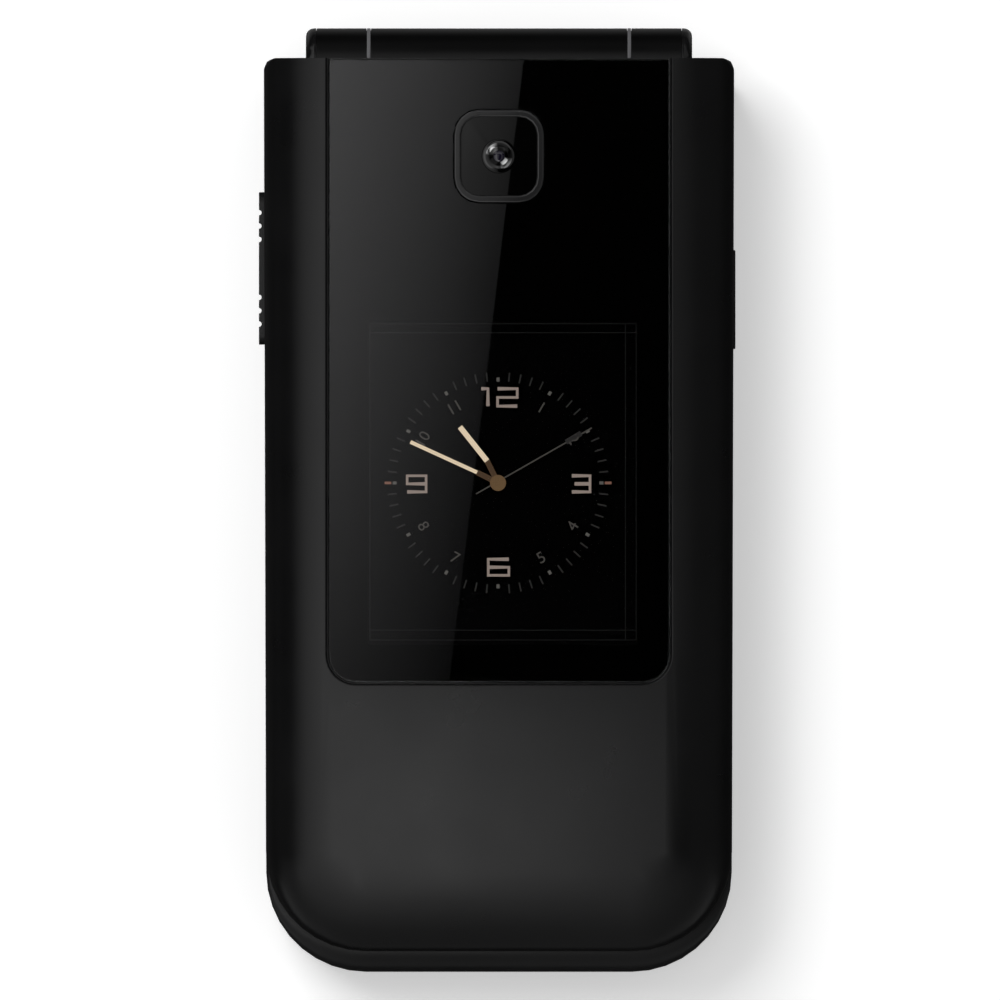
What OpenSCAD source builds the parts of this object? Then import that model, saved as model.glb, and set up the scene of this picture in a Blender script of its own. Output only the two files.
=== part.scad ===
// Clamshell phone, closed and lying on its back. X runs across it, +Y to the hinge and +Z up
// through the lid. The origin is on the back face, midway between the free end and the barrel's
// crown. Every thickness is one layer of a stack that starts at the back face.

/* [Clamshell] */
// Width across the side walls at the hinge
body_w = 52.7; // [51.8:0.1:58]
// Length from the free end to the crown of the hinge barrel
overall_l = 105.8; // [105:0.2:112]
// Draw-in of each side between the hinge and the free end
side_taper = 0.28; // [0:0.02:0.5]
// Corner radius of the free end, seen from the front
end_corner_r = 11.2; // [10.8:0.1:12]
// Corner radius beside the hinge
hinge_corner_r = 1.2; // [0.6:0.1:2]
// How far the base's free end stands out past the lid
base_lip = 2.4; // [1.6:0.1:2.8]
// Side wall thickness of the four shells
wall_t = 1.3; // [1.1:0.05:1.6]
// Gap between the closed lid and the base
lid_gap = 0.4; // [0.3:0.05:0.8]

/* [Edges] */
// Edge radius round the back of the base
back_round = 2.8; // [2.2:0.1:3.2]
// Height of the rounding on the base's lip
lip_round_h = 2.2; // [1.4:0.1:2.6]
// Edge radius of the base's face along its sides
face_round = 0.4; // [0.2:0.05:0.6]
// Width of the lid's rolled side edge
roll_side_w = 7.5; // [6:0.1:8]
// Height of the lid's rolled side edge
roll_side_h = 4.6; // [3.6:0.1:4.8]
// Width of the lid's rolled free end
roll_end_w = 10.4; // [9:0.1:10.6]
// Height of the lid's rolled free end
roll_end_h = 2.6; // [1.8:0.1:3.4]

/* [Base layers] */
// Battery cover thickness
cover_t = 1.1; // [1:0.05:1.6]
// Battery thickness
battery_t = 4.2; // [4:0.1:5.6]
// Floor of the battery bay
bay_floor_t = 0.8; // [0.6:0.05:1.4]
// Main board thickness
board_t = 0.8; // [0.6:0.05:1.2]
// Dome sheet thickness
dome_sheet_t = 0.1; // [0.08:0.01:0.2]
// Height of the domes on their sheet
dome_h = 0.3; // [0.2:0.02:0.5]
// Keypad membrane thickness
membrane_t = 0.3; // [0.2:0.02:0.6]
// Travel of a key
key_travel = 0.3; // [0.2:0.02:0.4]
// Thickness of the flange that keeps a key in
key_flange_t = 0.55; // [0.45:0.05:0.8]
// Thickness of the front shell round the keys
key_plate_t = 0.8; // [0.6:0.05:1.4]
// Depth of the keypad's recess in the face
recess_d = 0.4; // [0.3:0.05:0.6]

/* [Lid layers] */
// Inner window thickness
inner_window_t = 0.8; // [0.6:0.05:1.2]
// Ledge that carries the inner window
ledge_t = 0.6; // [0.5:0.05:1]
// Main display thickness
main_display_t = 2; // [1.6:0.1:2.8]
// Lid board thickness
lid_board_t = 0.5; // [0.4:0.05:0.8]
// Outer display thickness
outer_display_t = 2.4; // [2:0.1:3]
// Outer window thickness
window_t = 1.1; // [0.9:0.05:1.4]

/* [Hinge] */
// Radius of the hinge barrel and its knuckles
barrel_r = 4.1; // [4:0.05:4.4]
// Half length of the lid's barrel
barrel_half = 14.35; // [14:0.05:15]
// Half length over the base's knuckles
knuckle_half = 21.64; // [21.2:0.05:22.2]
// Thickness of the washers in the two seams
washer_t = 0.4; // [0.3:0.05:0.6]
// Radius of the hinge unit and of the bush
hinge_unit_r = 2.9; // [2.7:0.05:3]
// Radius of the cam shaft
shaft_r = 1; // [0.8:0.05:1.3]
// Bore radius of the bush, for the rolled cable
bush_bore_r = 2; // [1.8:0.05:2.2]
// Thickness of the knuckle end caps
cap_t = 1.2; // [1.1:0.05:1.6]
// How far the lid reaches past the hinge axis
lid_overhang = 0.7; // [0.4:0.05:0.9]
// How far the base stops short of the hinge axis
base_setback = 1; // [0.9:0.05:1.4]

/* [Outer window] */
// Window width
window_w = 38.3; // [36:0.1:38.6]
// Window length from the lid's hinge end
window_l = 70; // [68.5:0.1:72]
// Corner radius of the window
window_r = 3.2; // [2:0.1:5]
// Depth of the ledge round the window
window_ledge_t = 0.9; // [0.7:0.05:1.2]
// Outer display width
outer_display_w = 33; // [30:0.2:34]
// Outer display length
outer_display_l = 42.4; // [40:0.2:44]
// Distance of the outer display from the window's free end
outer_display_in = 0.8; // [0.5:0.1:2]

/* [Camera] */
// Width of the bezel
bezel_w = 10.1; // [9.6:0.1:11]
// Length of the bezel
bezel_l = 10.4; // [9.6:0.1:11]
// Width of the bezel's ring
bezel_ring = 0.8; // [0.5:0.05:1.2]
// Corner radius of the bezel
bezel_r = 2.8; // [2:0.1:3.6]
// Distance of the camera from the lid's hinge end
camera_in = 11; // [10:0.1:14]
// Radius of the lens
lens_r = 1.9; // [1.5:0.05:2.4]
// Side of the camera module
camera_side = 7.5; // [6.8:0.1:8.2]

/* [Inner face of the lid] */
// Inner window width
inner_window_w = 46; // [44:0.2:47]
// Inner window length
inner_window_l = 67; // [64:0.2:68]
// Width of the main display's visible area
view_w = 38; // [34:0.2:40]
// Length of the main display's visible area
view_l = 51; // [46:0.2:54]
// Main display width
main_display_w = 42.7; // [41:0.1:44]
// Main display length
main_display_l = 60.3; // [58:0.1:61]
// Distance of the display's centre from the lid's free end
main_display_in = 44.5; // [44:0.1:46]
// Distance of the earpiece from the lid's free end
earpiece_in = 6.4; // [6:0.1:7]

/* [Keys] */
// Width of a number key
key_w = 13.8; // [12:0.1:14]
// Length of a number key
key_l = 9.2; // [8:0.1:9.6]
// Corner radius of the keys
key_r = 1.8; // [0.8:0.1:3]
// Spacing of the columns
column_pitch = 15.2; // [15:0.1:15.6]
// Spacing of the rows
row_pitch = 11.2; // [10.8:0.1:11.4]
// Distance of the lowest row from the base's free end
keypad_in = 14.5; // [14.4:0.1:15.2]
// Clearance round a key in its opening
key_clear = 0.2; // [0.12:0.02:0.24]
// How far the flange reaches past the key
key_flange = 0.5; // [0.4:0.02:0.56]
// Outer radius of the navigation ring
nav_r = 12; // [11.4:0.1:12.2]
// Inner radius of the navigation ring
nav_bore_r = 5.6; // [5:0.1:6.4]
// Distance of the navigation ring from the base's free end
nav_in = 70.4; // [69.8:0.1:71]
// Width of the soft, call and end keys
side_key_w = 8.8; // [7.6:0.1:9]
// Length of the soft, call and end keys
side_key_l = 9.6; // [8:0.1:10]
// Distance of those keys from the centre line
side_key_x = 17.4; // [17.2:0.1:17.8]
// Distance of those keys from the ring's centre line
side_key_y = 7.2; // [6.6:0.1:7.8]

/* [Side buttons] */
// Length of the volume rocker
rocker_l = 17.1; // [15:0.1:19]
// Distance of the rocker from the base's free end
rocker_in = 78.9; // [77:0.1:80]
// How far the rocker stands out of the side
rocker_proud = 0.65; // [0.4:0.05:1]
// Length of the side button
button_l = 11.1; // [9:0.1:13]
// Distance of the side button from the base's free end
button_in = 75.4; // [74:0.1:80]
// How far the side button stands out of the side
button_proud = 0.25; // [0.2:0.05:0.6]
// Height of both
side_h = 3; // [2.4:0.1:3.4]
// Travel of the side button
button_travel = 0.2; // [0.1:0.02:0.3]

/* [Power] */
// Battery width
battery_w = 34; // [32:0.2:35]
// Battery length
battery_l = 53; // [50:0.2:53.6]
// Distance of the battery from the base's free end
battery_in = 22.9; // [22.4:0.1:23.4]
// Wall round the battery bay
bay_wall_t = 1; // [0.8:0.05:1.2]
// How far the battery cover reaches past the battery
cover_past = 4; // [3.6:0.1:5]
// How far the cover slides before it lifts off
cover_slide = 6; // [3:0.5:8]
// Width of the cover's turned-up rim
cover_rim_w = 1.9; // [1.6:0.05:2.1]
// Height of the cover's turned-up rim
cover_rim_h = 2; // [1.9:0.05:2.3]

/* [Sockets] */
// Bore radius of the headphone socket
jack_r = 1.8; // [1.75:0.01:1.85]
// Depth of the headphone socket
jack_depth = 14; // [12:0.1:14.5]
// Distance of the headphone socket from the centre line
jack_x = 10.5; // [9.5:0.1:11.5]
// Width of the charging socket
usb_w = 7.5; // [7:0.1:8]
// Height of the charging socket
usb_h = 2.5; // [2.2:0.1:2.7]
// Depth of the charging socket
usb_depth = 5.6; // [5:0.1:6]

/* [Screws] */
// Screw shank radius
screw_r = 0.8; // [0.7:0.05:0.95]
// Screw head radius
screw_head_r = 1.4; // [1.2:0.05:1.5]
// Screw head height
screw_head_h = 0.9; // [0.7:0.05:1.1]

/* [Hidden] */
$fn = 48;

// Clearances, each used for every fit of its kind
fit = 0.1;          // between layers of a stack, and round a piece in its pocket
seam = 0.1;         // between two shells
run_fit = 0.05;     // round a turning shaft or bush
set_fit = 0.02;     // round a piece that is pressed home
mount_gap = 0.2;    // under a board
lens_gap = 0.3;     // between the outer display and its window
swing_gap = 0.3;    // between the barrel or a knuckle and its channel
cut = 1;            // how far a cutter runs past the face that it opens

// Heights in the base, from the back face up
battery_z = cover_t + fit;
bay_floor_z = battery_z + battery_t + fit;
bay_top_z = bay_floor_z + bay_floor_t;
board_z = bay_top_z + mount_gap;
board_top_z = board_z + board_t;
dome_z = board_top_z + fit/2;
membrane_z = dome_z + dome_sheet_t + dome_h + fit/2;
membrane_top_z = membrane_z + membrane_t;
flange_z = membrane_top_z + key_travel + fit/2;
plate_z = flange_z + key_flange_t + fit;
recess_z = plate_z + key_plate_t;
base_t = recess_z + recess_d;
rear_floor_t = 0.8;                             // rear shell's floor over the cover
rear_wall_h = 2.3;                              // rear shell's sides above the cover
rear_top_z = cover_rim_h + seam + rear_wall_h;
front_z = rear_top_z + seam;
key_top_z = base_t - fit;

// Heights in the lid, from its inner face up
lid_z = base_t + lid_gap;
inner_window_recess = 0.15;
inner_window_z = lid_z + inner_window_recess;
ledge_z = inner_window_z + inner_window_t + fit/2;
inner_top_z = ledge_z + ledge_t;
outer_z = inner_top_z + seam;
main_display_z = inner_top_z + fit;
lid_board_z = main_display_z + main_display_t + mount_gap;
outer_display_z = lid_board_z + lid_board_t + fit;
window_z = outer_display_z + outer_display_t + lens_gap;
lid_top_z = window_z + window_t;
shelf_z = window_z - fit/2 - window_ledge_t;    // underside of the ledge round the window
side_roll_z = lid_top_z - roll_side_h;

// Lengths, along Y
end_y = -overall_l/2;
axis_y = overall_l/2 - barrel_r;
axis_z = base_t + lid_gap/2;
base_hinge_y = axis_y - base_setback;
lid_hinge_y = axis_y + lid_overhang;
lid_end_y = end_y + base_lip;
channel_r = barrel_r + swing_gap;
channel_wall = 1.1;
hinge_block_y = axis_y - channel_r - channel_wall;
seam_half = barrel_half + washer_t + fit;       // inner face of a knuckle
window_end_y = lid_hinge_y - window_l;
camera_y = lid_hinge_y - camera_in;
outer_display_y = window_end_y + outer_display_in + outer_display_l/2;
main_display_y = lid_end_y + main_display_in;
earpiece_y = lid_end_y + earpiece_in;
battery_y = end_y + battery_in;
battery_top_y = battery_y + battery_l;
cover_top_y = battery_top_y + cover_past;
nav_y = end_y + nav_in;
keypad_y = end_y + keypad_in;
rocker_y = end_y + rocker_in;
button_y = end_y + button_in;

// Battery bay, cover and antenna
bay_in = fit + bay_wall_t;                      // from the battery to the bay's outer face
tongue_w = 4;
tongue_x = battery_w/2 + bay_in + fit + tongue_w/2;
tongue_l = 2;
tongue_t = 0.6;
contact_w = 8;
contact_x = 8;
contact_l = 4.4;
contact_pitch = 1.9;
contact_blade_w = 0.8;
contact_blade_h = 1.2;
antenna_t = 1.8;
antenna_l = 2.2;
antenna_half = 22.5;
antenna_y = base_hinge_y - wall_t - fit;
antenna_tail_w = 2;
antenna_tail_t = 0.3;
antenna_tail_x = antenna_half - 1.5*antenna_tail_w;
antenna_tail_in = 2.4;
antenna_tail_y = hinge_block_y - antenna_tail_in;

// Screws, the same distance in from the sides and ends on both halves
screw_side_in = 5.75;
screw_end_in = 7.1;
lid_screw_side_in = 4.2;
lid_screw_corner_in = 9.5;                      // nearer the middle, clear of the keypad's recess
lid_screw_end_in = 4.5;
lid_screw_hinge_in = 13.5;
post_r = screw_r + 1.1;
boss_r = screw_head_r + 0.6;
head_clear = 0.15;
pilot_clear = 0.05;
base_screw_at = [
    [half_w(end_y) - screw_side_in, end_y + screw_end_in],
    [half_w(base_hinge_y) - screw_side_in,
     (cover_top_y + tongue_l + fit + antenna_y - antenna_l)/2]];
lid_screw_at = [
    [half_w(lid_end_y) - lid_screw_corner_in, lid_end_y + lid_screw_end_in],
    [half_w(lid_hinge_y) - lid_screw_side_in, lid_hinge_y - lid_screw_hinge_in]];
screw_head_z = cover_t + 2*fit;
screw_seat_z = screw_head_z + screw_head_h + fit;
bumper_t = 0.75;
bumper_r = 2.2;
bumper_z = base_t + fit/2;
lid_head_z = bumper_z + bumper_t + fit/2;
lid_seat_z = lid_head_z + screw_head_h + fit/2;
lid_boss_top_z = lid_seat_z + 0.9;
screw_bite = 4;                                 // length of thread in the post

// Keys
key_hole_w = key_w + 2*key_clear;
key_hole_l = key_l + 2*key_clear;
dome_r = 2;
ok_r = nav_bore_r - 2*key_clear;
nav_dome_r = (nav_r + nav_bore_r)/2;
nav_flange_t = key_flange_t - 0.25;             // thinner, so that the ring can rock
keypad_top_y = nav_y + nav_r + key_flange + fit;
keypad_end_y = keypad_y - key_l/2 - key_flange - fit;
recess_edge = 0.7;
recess_r = 3;

// Side buttons
side_z = (front_z + plate_z)/2;
side_clear = 0.2;
side_flange_t = 0.5;
button_flange_h = side_h + 1;
button_flange_l = button_l + 0.8;
rocker_flange_l = 8;
rocker_play = 0.2;                              // between the wall and the rocker's flange
pusher_l = 1.4;
side_r = 1.2;
rib_r = 0.3;
rib_pitch = 1.5;
ribs_per_end = 3;
rib_first = 7;                                  // from the rocker's centre to its outermost rib
switch_t = 0.8;
switch_l = 3.4;
switch_h = 1.55;
switch_reach = 0.35;
rocker_switch_y = 5.8;
board_in = 2.7;                                 // the board's edge, inside the shells' sides
pusher_in = board_in - switch_reach - button_travel - fit/2;    // how deep a pusher reaches

// Parts that stand on the board or the floor
jack_z = board_z - 1.6;
jack_body_w = 6;
jack_body_h = 4.8;
jack_back_t = 0.7;
jack_nose_r = jack_r + 0.5;
jack_nose_l = wall_t + 2*mount_gap;             // far enough to meet the socket's body
jack_mouth_y = end_y + 0.2;
usb_z = board_z - fit/2 - usb_h;
usb_mouth_y = end_y + 0.35;
usb_shell_t = 0.3;
port_clear = 0.3;
mic_x = -9;
mic_r = 2;
mic_in = 5.4;
mic_hole_r = 0.5;
speaker_x = -9;
speaker_w = 16;
speaker_r = 2;
speaker_rim = 1.5;
speaker_rim_t = 0.4;
speaker_gap = 0.5;
speaker_low_y = cover_top_y + seam + 2*rear_floor_t + speaker_gap;
speaker_high_y = antenna_y - antenna_l - speaker_gap;
speaker_y = (speaker_low_y + speaker_high_y)/2;
speaker_l = speaker_high_y - speaker_low_y;
slot_w = 1;
slot_r = 0.45;
slot_pitch = 2.2;
slot_end_in = 3;                                // from the speaker's end to its slots
can_w = 14.6;
can_t = 0.2;
can_gap = 0.6;
can_low_y = battery_top_y + contact_l + can_gap;
can_high_y = hinge_block_y - 2*can_gap;
motor_x = -15;
motor_r = 4;
motor_t = 2.7;
motor_in = 13.6;
sim_w = 25.4;
sim_l = 14.6;
sim_rim = 1.2;
sim_roof_t = 0.2;
sim_x = -3;
sim_in = 6.7;                                   // from the battery's free end to the holder
sim_y = battery_y + sim_in + sim_l/2;
sim_t = bay_floor_t + mount_gap - fit;

// Hinge unit and bush
housing_x = 1;
housing_wall = 0.7;
housing_end_t = 1.7;
cam_t = 2;
cam_flat = 2;
cap_round = 0.9;
knuckle_stop = knuckle_half - cap_t - 1.1;      // where the shaft and the bush end
bush_grip = 5;                                  // how far the bush reaches into the barrel

// Flexible cable in the hinge
flex_t = 0.2;
flex_r = 1.5;
flex_w = 3;
flex_x = -16.8;
flex_lid_x = -6.2;
flex_split_x = -9.1;
flex_z = axis_z - flex_r - 2*flex_t;
flex_lid_z = axis_z + flex_r + 2*flex_t;
flex_reach = 4.4;
flex_board_y = hinge_block_y - flex_reach;
flex_foot_l = 2;
flex_grip = 0.5;                                // half width of the foot on the rolled cable
lid_flex_reach = 10;
lid_flex_y = axis_y - lid_flex_reach;
lid_flex_foot_l = 3;

// Lid
web_l = 6.2;                                    // the barrel's web into the inner shell
web_h = 3.5;
lid_cavity_end = 1.4;
cavity_step_x = 21.5;
cavity_step_y = 4;
cavity_r = 4;
view_offset = 0.8;
inner_window_r = 2.5;
display_r = 0.5;
lid_board_w = 37;
earpiece_w = 13;
earpiece_l = 6;
earpiece_t = 2.2;
grille_w = 10;
grille_l = 2.2;
grille_t = 0.3;
grille_hole_w = 9;
grille_hole_l = 1.6;
magnet_r = 1.5;
magnet_x = -11;
magnet_z = inner_top_z - 0.4;
magnet_t = 1.6;
camera_barrel_r = 2.6;
camera_z = lid_board_z + lid_board_t + fit/2;
camera_base_t = 1.4;
bezel_proud = 0.1;
bezel_floor_t = 0.6;
lens_proud = 0.2;

corner_steps = 9;
tip_steps = 2;
roll_steps = 8;
round_steps = 4;
arc_steps = 4;

// Half width of the body at a place along its length
function half_w(y) = body_w/2 - side_taper*(overall_l/2 - y)/overall_l;

// One closed ring of points round the body's plan, from the free end's right corner round by the
// hinge. It lies side_in, end_in and hinge_in inside the plan, at height z_side along its sides
// and at z_end along its free end, and blends from one to the other round the corner.
function plan_ring(free_y, hinge_y, side_in, end_in, hinge_in, z_side, z_end) =
    let (
        cy = free_y + end_corner_r,
        cx = half_w(cy) - end_corner_r,
        tip_r = max(hinge_corner_r - side_in, 0.05),
        tx = half_w(hinge_y) - side_in - tip_r,
        ty = hinge_y - hinge_in - tip_r,
        right = concat(
            [for (i = [0:corner_steps]) let (a = 90*i/corner_steps - 90)
                [cx + (end_corner_r - side_in)*cos(a), cy + (end_corner_r - end_in)*sin(a),
                 z_side + (z_end - z_side)*sin(a)*sin(a)]],
            [for (i = [0:tip_steps]) let (a = 90*i/tip_steps)
                [tx + tip_r*cos(a), ty + tip_r*sin(a), z_side]]),
        last = len(right) - 1)
    concat(right, [for (i = [last:-1:0]) [-right[i].x, right[i].y, right[i].z]]);

// The same plan as a flat outline
function plan_outline(free_y, hinge_y, inset) =
    [for (p = plan_ring(free_y, hinge_y, inset, inset, inset, 0, 0)) [p.x, p.y]];

// Rectangle with rounded corners, about its centre
function round_rect(w, l, r) =
    [for (q = [0:3]) for (i = [0:arc_steps]) let (a = 90*q + 90*i/arc_steps)
        [(q == 0 || q == 3 ? 1 : -1)*(w/2 - r) + r*cos(a),
         (q < 2 ? 1 : -1)*(l/2 - r) + r*sin(a)]];

// Outline of the outer window: rounded at its free end, square at the hinge
function window_outline(grow, top_y) =
    let (
        w = window_w/2 + grow,
        r = window_r + grow,
        y = window_end_y - grow,
        arc = [for (i = [0:2*arc_steps]) let (a = 45*i/arc_steps - 90)
            [w - r + r*cos(a), y + r + r*sin(a)]],
        last = len(arc) - 1)
    concat(arc, [[w, top_y], [-w, top_y]], [for (i = [last:-1:0]) [-arc[i].x, arc[i].y]]);

// Solid skin over a stack of rings with equal numbers of points
module loft(rings) {
    n = len(rings[0]);
    top = (len(rings) - 1)*n;
    sides = [for (k = [0:len(rings) - 2]) for (i = [0:n - 1])
        let (a = k*n + i, b = k*n + (i + 1) % n) each [[b, a, a + n], [b, a + n, b + n]]];
    polyhedron([for (ring = rings) each ring],
        concat([[for (i = [0:n - 1]) i]], sides, [[for (i = [n - 1:-1:0]) top + i]]));
}

// The base's whole outer form: rounded back, upright sides, a rounded lip at the free end
module base_form() {
    loft(concat(
        [for (k = [0:round_steps]) let (a = 90*k/round_steps, in = back_round*(1 - sin(a)))
            plan_ring(end_y, base_hinge_y, in, in, in/2,
                back_round*(1 - cos(a)), back_round*(1 - cos(a)))],
        [for (k = [0:round_steps]) let (a = 90*k/round_steps)
            plan_ring(end_y, base_hinge_y, face_round*(1 - cos(a)), base_lip*(1 - cos(a)),
                face_round*(1 - cos(a)), base_t - face_round*(1 - sin(a)),
                base_t - lip_round_h*(1 - sin(a)))]));
}

// The lid's outer form above its inner shell: upright sides that roll over into a flat top
module lid_form() {
    loft(concat(
        [plan_ring(lid_end_y, lid_hinge_y, 0, 0, 0, outer_z, outer_z)],
        [for (k = [0:roll_steps]) let (a = 90*k/roll_steps)
            plan_ring(lid_end_y, lid_hinge_y, roll_side_w*(1 - cos(a)), roll_end_w*(1 - cos(a)), 0,
                lid_top_z - roll_side_h*(1 - sin(a)), lid_top_z - roll_end_h*(1 - sin(a)))]));
}

// Upright prism over an outline
module prism(outline, z0, z1) {
    translate([0, 0, z0]) linear_extrude(z1 - z0) polygon(outline);
}

// Block given by its low and high corners
module span(low, high) {
    translate(low) cube(high - low);
}

// Upright rod
module post(at, z0, z1, r) {
    translate([at.x, at.y, z0]) cylinder(h = z1 - z0, r = r);
}

// Rod along the hinge axis
module axis_rod(x0, x1, r) {
    translate([x0, axis_y, axis_z]) rotate([0, 90, 0]) cylinder(h = x1 - x0, r = r);
}

// Rounded block about a centre
module pad(at, w, l, r, z0, z1) {
    translate([at.x, at.y, 0]) prism(round_rect(w, l, r), z0, z1);
}

// Right-hand piece and its mirror image on the left
module both_sides() {
    children();
    mirror([1, 0, 0]) children();
}

// One screw at each place, on both sides
module at_screws(places) {
    for (at = places)
        both_sides() translate([at.x, at.y, 0]) children();
}

// ---- Keys: the places are shared by the keys, their openings and their domes ----

key_names = [["key_star", "key_0", "key_hash"], ["key_7", "key_8", "key_9"],
    ["key_4", "key_5", "key_6"], ["key_1", "key_2", "key_3"]];

function key_at(row, column) = [(column - 1)*column_pitch, keypad_y + row*row_pitch];
function side_key_at(x_sign, y_sign) = [x_sign*side_key_x, nav_y + y_sign*side_key_y];

module at_number_keys() {
    for (row = [0:3])
        for (column = [0:2])
            translate(key_at(row, column)) children();
}

module at_side_keys() {
    for (sx = [-1, 1])
        for (sy = [-1, 1])
            translate(side_key_at(sx, sy)) children();
}

// A key: its cap through the plate, and the flange that keeps it in
module key(at, w, l) {
    translate([at.x, at.y, 0]) {
        prism(round_rect(w, l, key_r), flange_z, key_top_z);
        prism(round_rect(w + 2*key_flange, l + 2*key_flange, key_r), flange_z,
            flange_z + key_flange_t);
    }
}

module number_key(row, column) {
    color("dimgray") key(key_at(row, column), key_w, key_l);
}

module side_key(x_sign, y_sign) {
    key(side_key_at(x_sign, y_sign), side_key_w, side_key_l);
}

module nav_ring() color("silver") translate([0, nav_y, 0]) difference() {
    union() {
        post([0, 0], flange_z, key_top_z, nav_r);
        post([0, 0], flange_z, flange_z + nav_flange_t, nav_r + key_flange);
    }
    post([0, 0], flange_z - cut, key_top_z + cut, nav_bore_r);
}

module ok_key() color("dimgray") post([0, nav_y], flange_z, key_top_z, ok_r);

// ---- Base ----

// Space that the battery cover takes out of the rear shell, with its seam
module cover_space() {
    difference() {
        span([-body_w, end_y - cut, -cut], [body_w, cover_top_y + seam, cover_rim_h + seam]);
        prism(plan_outline(end_y, base_hinge_y + body_w, cover_rim_w + seam), cover_t + fit,
            cover_rim_h + 2*cut);
    }
}

// Space round the cover's tongues over its whole slide
module tongue_space() {
    both_sides() span(
        [tongue_x - tongue_w/2 - fit, cover_top_y - tongue_l - cover_slide - fit, cover_t - fit],
        [tongue_x + tongue_w/2 + fit, cover_top_y + tongue_l + fit, battery_z + tongue_t + 2*fit]);
}

// Openings in the free end for the two sockets
module port_holes() {
    translate([jack_x, end_y - cut, jack_z]) rotate([-90, 0, 0])
        cylinder(h = wall_t + 2*cut, r = jack_nose_r + fit);
    span([-usb_w/2 - port_clear, end_y - cut, usb_z - port_clear],
        [usb_w/2 + port_clear, end_y + wall_t + cut, usb_z + usb_h + port_clear]);
}

// A knuckle of the base: a barrel on a web that carries it down into the front shell
module knuckle() {
    axis_rod(seam_half, knuckle_half - cap_t, barrel_r);
    span([seam_half, hinge_block_y, front_z], [knuckle_half - cap_t, axis_y, base_t]);
}

module base_front_shell() color([0.10, 0.10, 0.11]) difference() {
    union() {
        difference() {
            union() {
                intersection() {
                    base_form();
                    span([-body_w, end_y - cut, front_z], [body_w, axis_y, base_t + cut]);
                }
                both_sides() knuckle();
            }
            prism(plan_outline(end_y, hinge_block_y + wall_t, wall_t), front_z - cut, plate_z);
        }
        at_screws(base_screw_at) post([0, 0], front_z, plate_z + key_plate_t/2, post_r);
    }
    axis_rod(-seam_half, seam_half, channel_r);
    both_sides() axis_rod(knuckle_half - cap_t, knuckle_half + seam, barrel_r + seam);
    prism([for (p = round_rect(2*(half_w(keypad_y) - wall_t - recess_edge),
            keypad_top_y - keypad_end_y, recess_r))
        [p.x, p.y + (keypad_top_y + keypad_end_y)/2]], recess_z, base_t + cut);
    at_number_keys() prism(round_rect(key_hole_w, key_hole_l, key_r + key_clear), plate_z - cut,
        base_t + cut);
    at_side_keys() prism(round_rect(side_key_w + 2*key_clear, side_key_l + 2*key_clear,
        key_r + key_clear), plate_z - cut, base_t + cut);
    post([0, nav_y], plate_z - cut, base_t + cut, nav_r + key_clear);
    post([mic_x, end_y + mic_in], plate_z - cut, base_t + cut, mic_hole_r);
    axis_rod(-knuckle_half, -seam_half + cut, hinge_unit_r + set_fit);
    intersection() {
        axis_rod(seam_half - cut, knuckle_half, hinge_unit_r + set_fit);
        span([seam_half - cut, axis_y - cam_flat - set_fit, 0],
            [knuckle_half, axis_y + cam_flat + set_fit, lid_top_z]);
    }
    span([flex_x - flex_w/2 - fit, hinge_block_y - wall_t, flex_z - fit],
        [flex_x + flex_w/2 + fit, axis_y, flex_z + flex_t + fit]);
    side_slots();
    port_holes();
    at_screws(base_screw_at) post([0, 0], front_z - cut, screw_seat_z + screw_bite + 1,
        screw_r + pilot_clear);
}

module side_slots() {
    for (s = [[-1, rocker_y, rocker_l], [1, button_y, button_l]])
        span([s[0] == 1 ? half_w(s[1]) - wall_t - cut : -body_w, s[1] - s[2]/2 - side_clear,
              side_z - side_h/2 - side_clear],
            [s[0] == 1 ? body_w : cut + wall_t - half_w(s[1]), s[1] + s[2]/2 + side_clear,
             side_z + side_h/2 + side_clear]);
}

module base_rear_shell() color([0.13, 0.13, 0.14]) difference() {
    union() {
        difference() {
            intersection() {
                base_form();
                span([-body_w, end_y - cut, 0], [body_w, axis_y, rear_top_z]);
            }
            prism(plan_outline(end_y, base_hinge_y, wall_t), battery_z + rear_floor_t,
                rear_top_z + cut);
            intersection() {
                prism(plan_outline(end_y, base_hinge_y, wall_t), battery_z, rear_top_z + cut);
                span([-body_w, cover_top_y + seam + 2*rear_floor_t, 0], [body_w, axis_y, base_t]);
            }
        }
        span([-battery_w/2 - bay_in, battery_y - bay_in, battery_z],
            [battery_w/2 + bay_in, battery_top_y + bay_in, bay_top_z]);
        at_screws(base_screw_at) post([0, 0], battery_z, rear_top_z, boss_r + head_clear);
    }
    span([-battery_w/2 - fit, battery_y - fit, -cut],
        [battery_w/2 + fit, battery_top_y + fit, bay_floor_z]);
    cover_space();
    tongue_space();
    span([sim_x - sim_w/2 - fit, sim_y - sim_l/2 - fit, bay_floor_z - cut],
        [sim_x + sim_w/2 + fit, sim_y + sim_l/2 + fit, bay_top_z + cut]);
    span([contact_x - contact_w/2 - fit, battery_top_y, battery_z + rear_floor_t],
        [contact_x + contact_w/2 + fit, battery_top_y + contact_l + 2*fit, bay_top_z + cut]);
    at_screws(base_screw_at) {
        post([0, 0], -cut, screw_seat_z, screw_head_r + head_clear);
        post([0, 0], 0, rear_top_z + cut, screw_r + head_clear);
    }
    for (i = [-2:2])
        pad([speaker_x + slot_pitch*i, speaker_y], slot_w, speaker_l - 2*slot_end_in, slot_r, -cut,
            battery_z + cut);
    port_holes();
}

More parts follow.
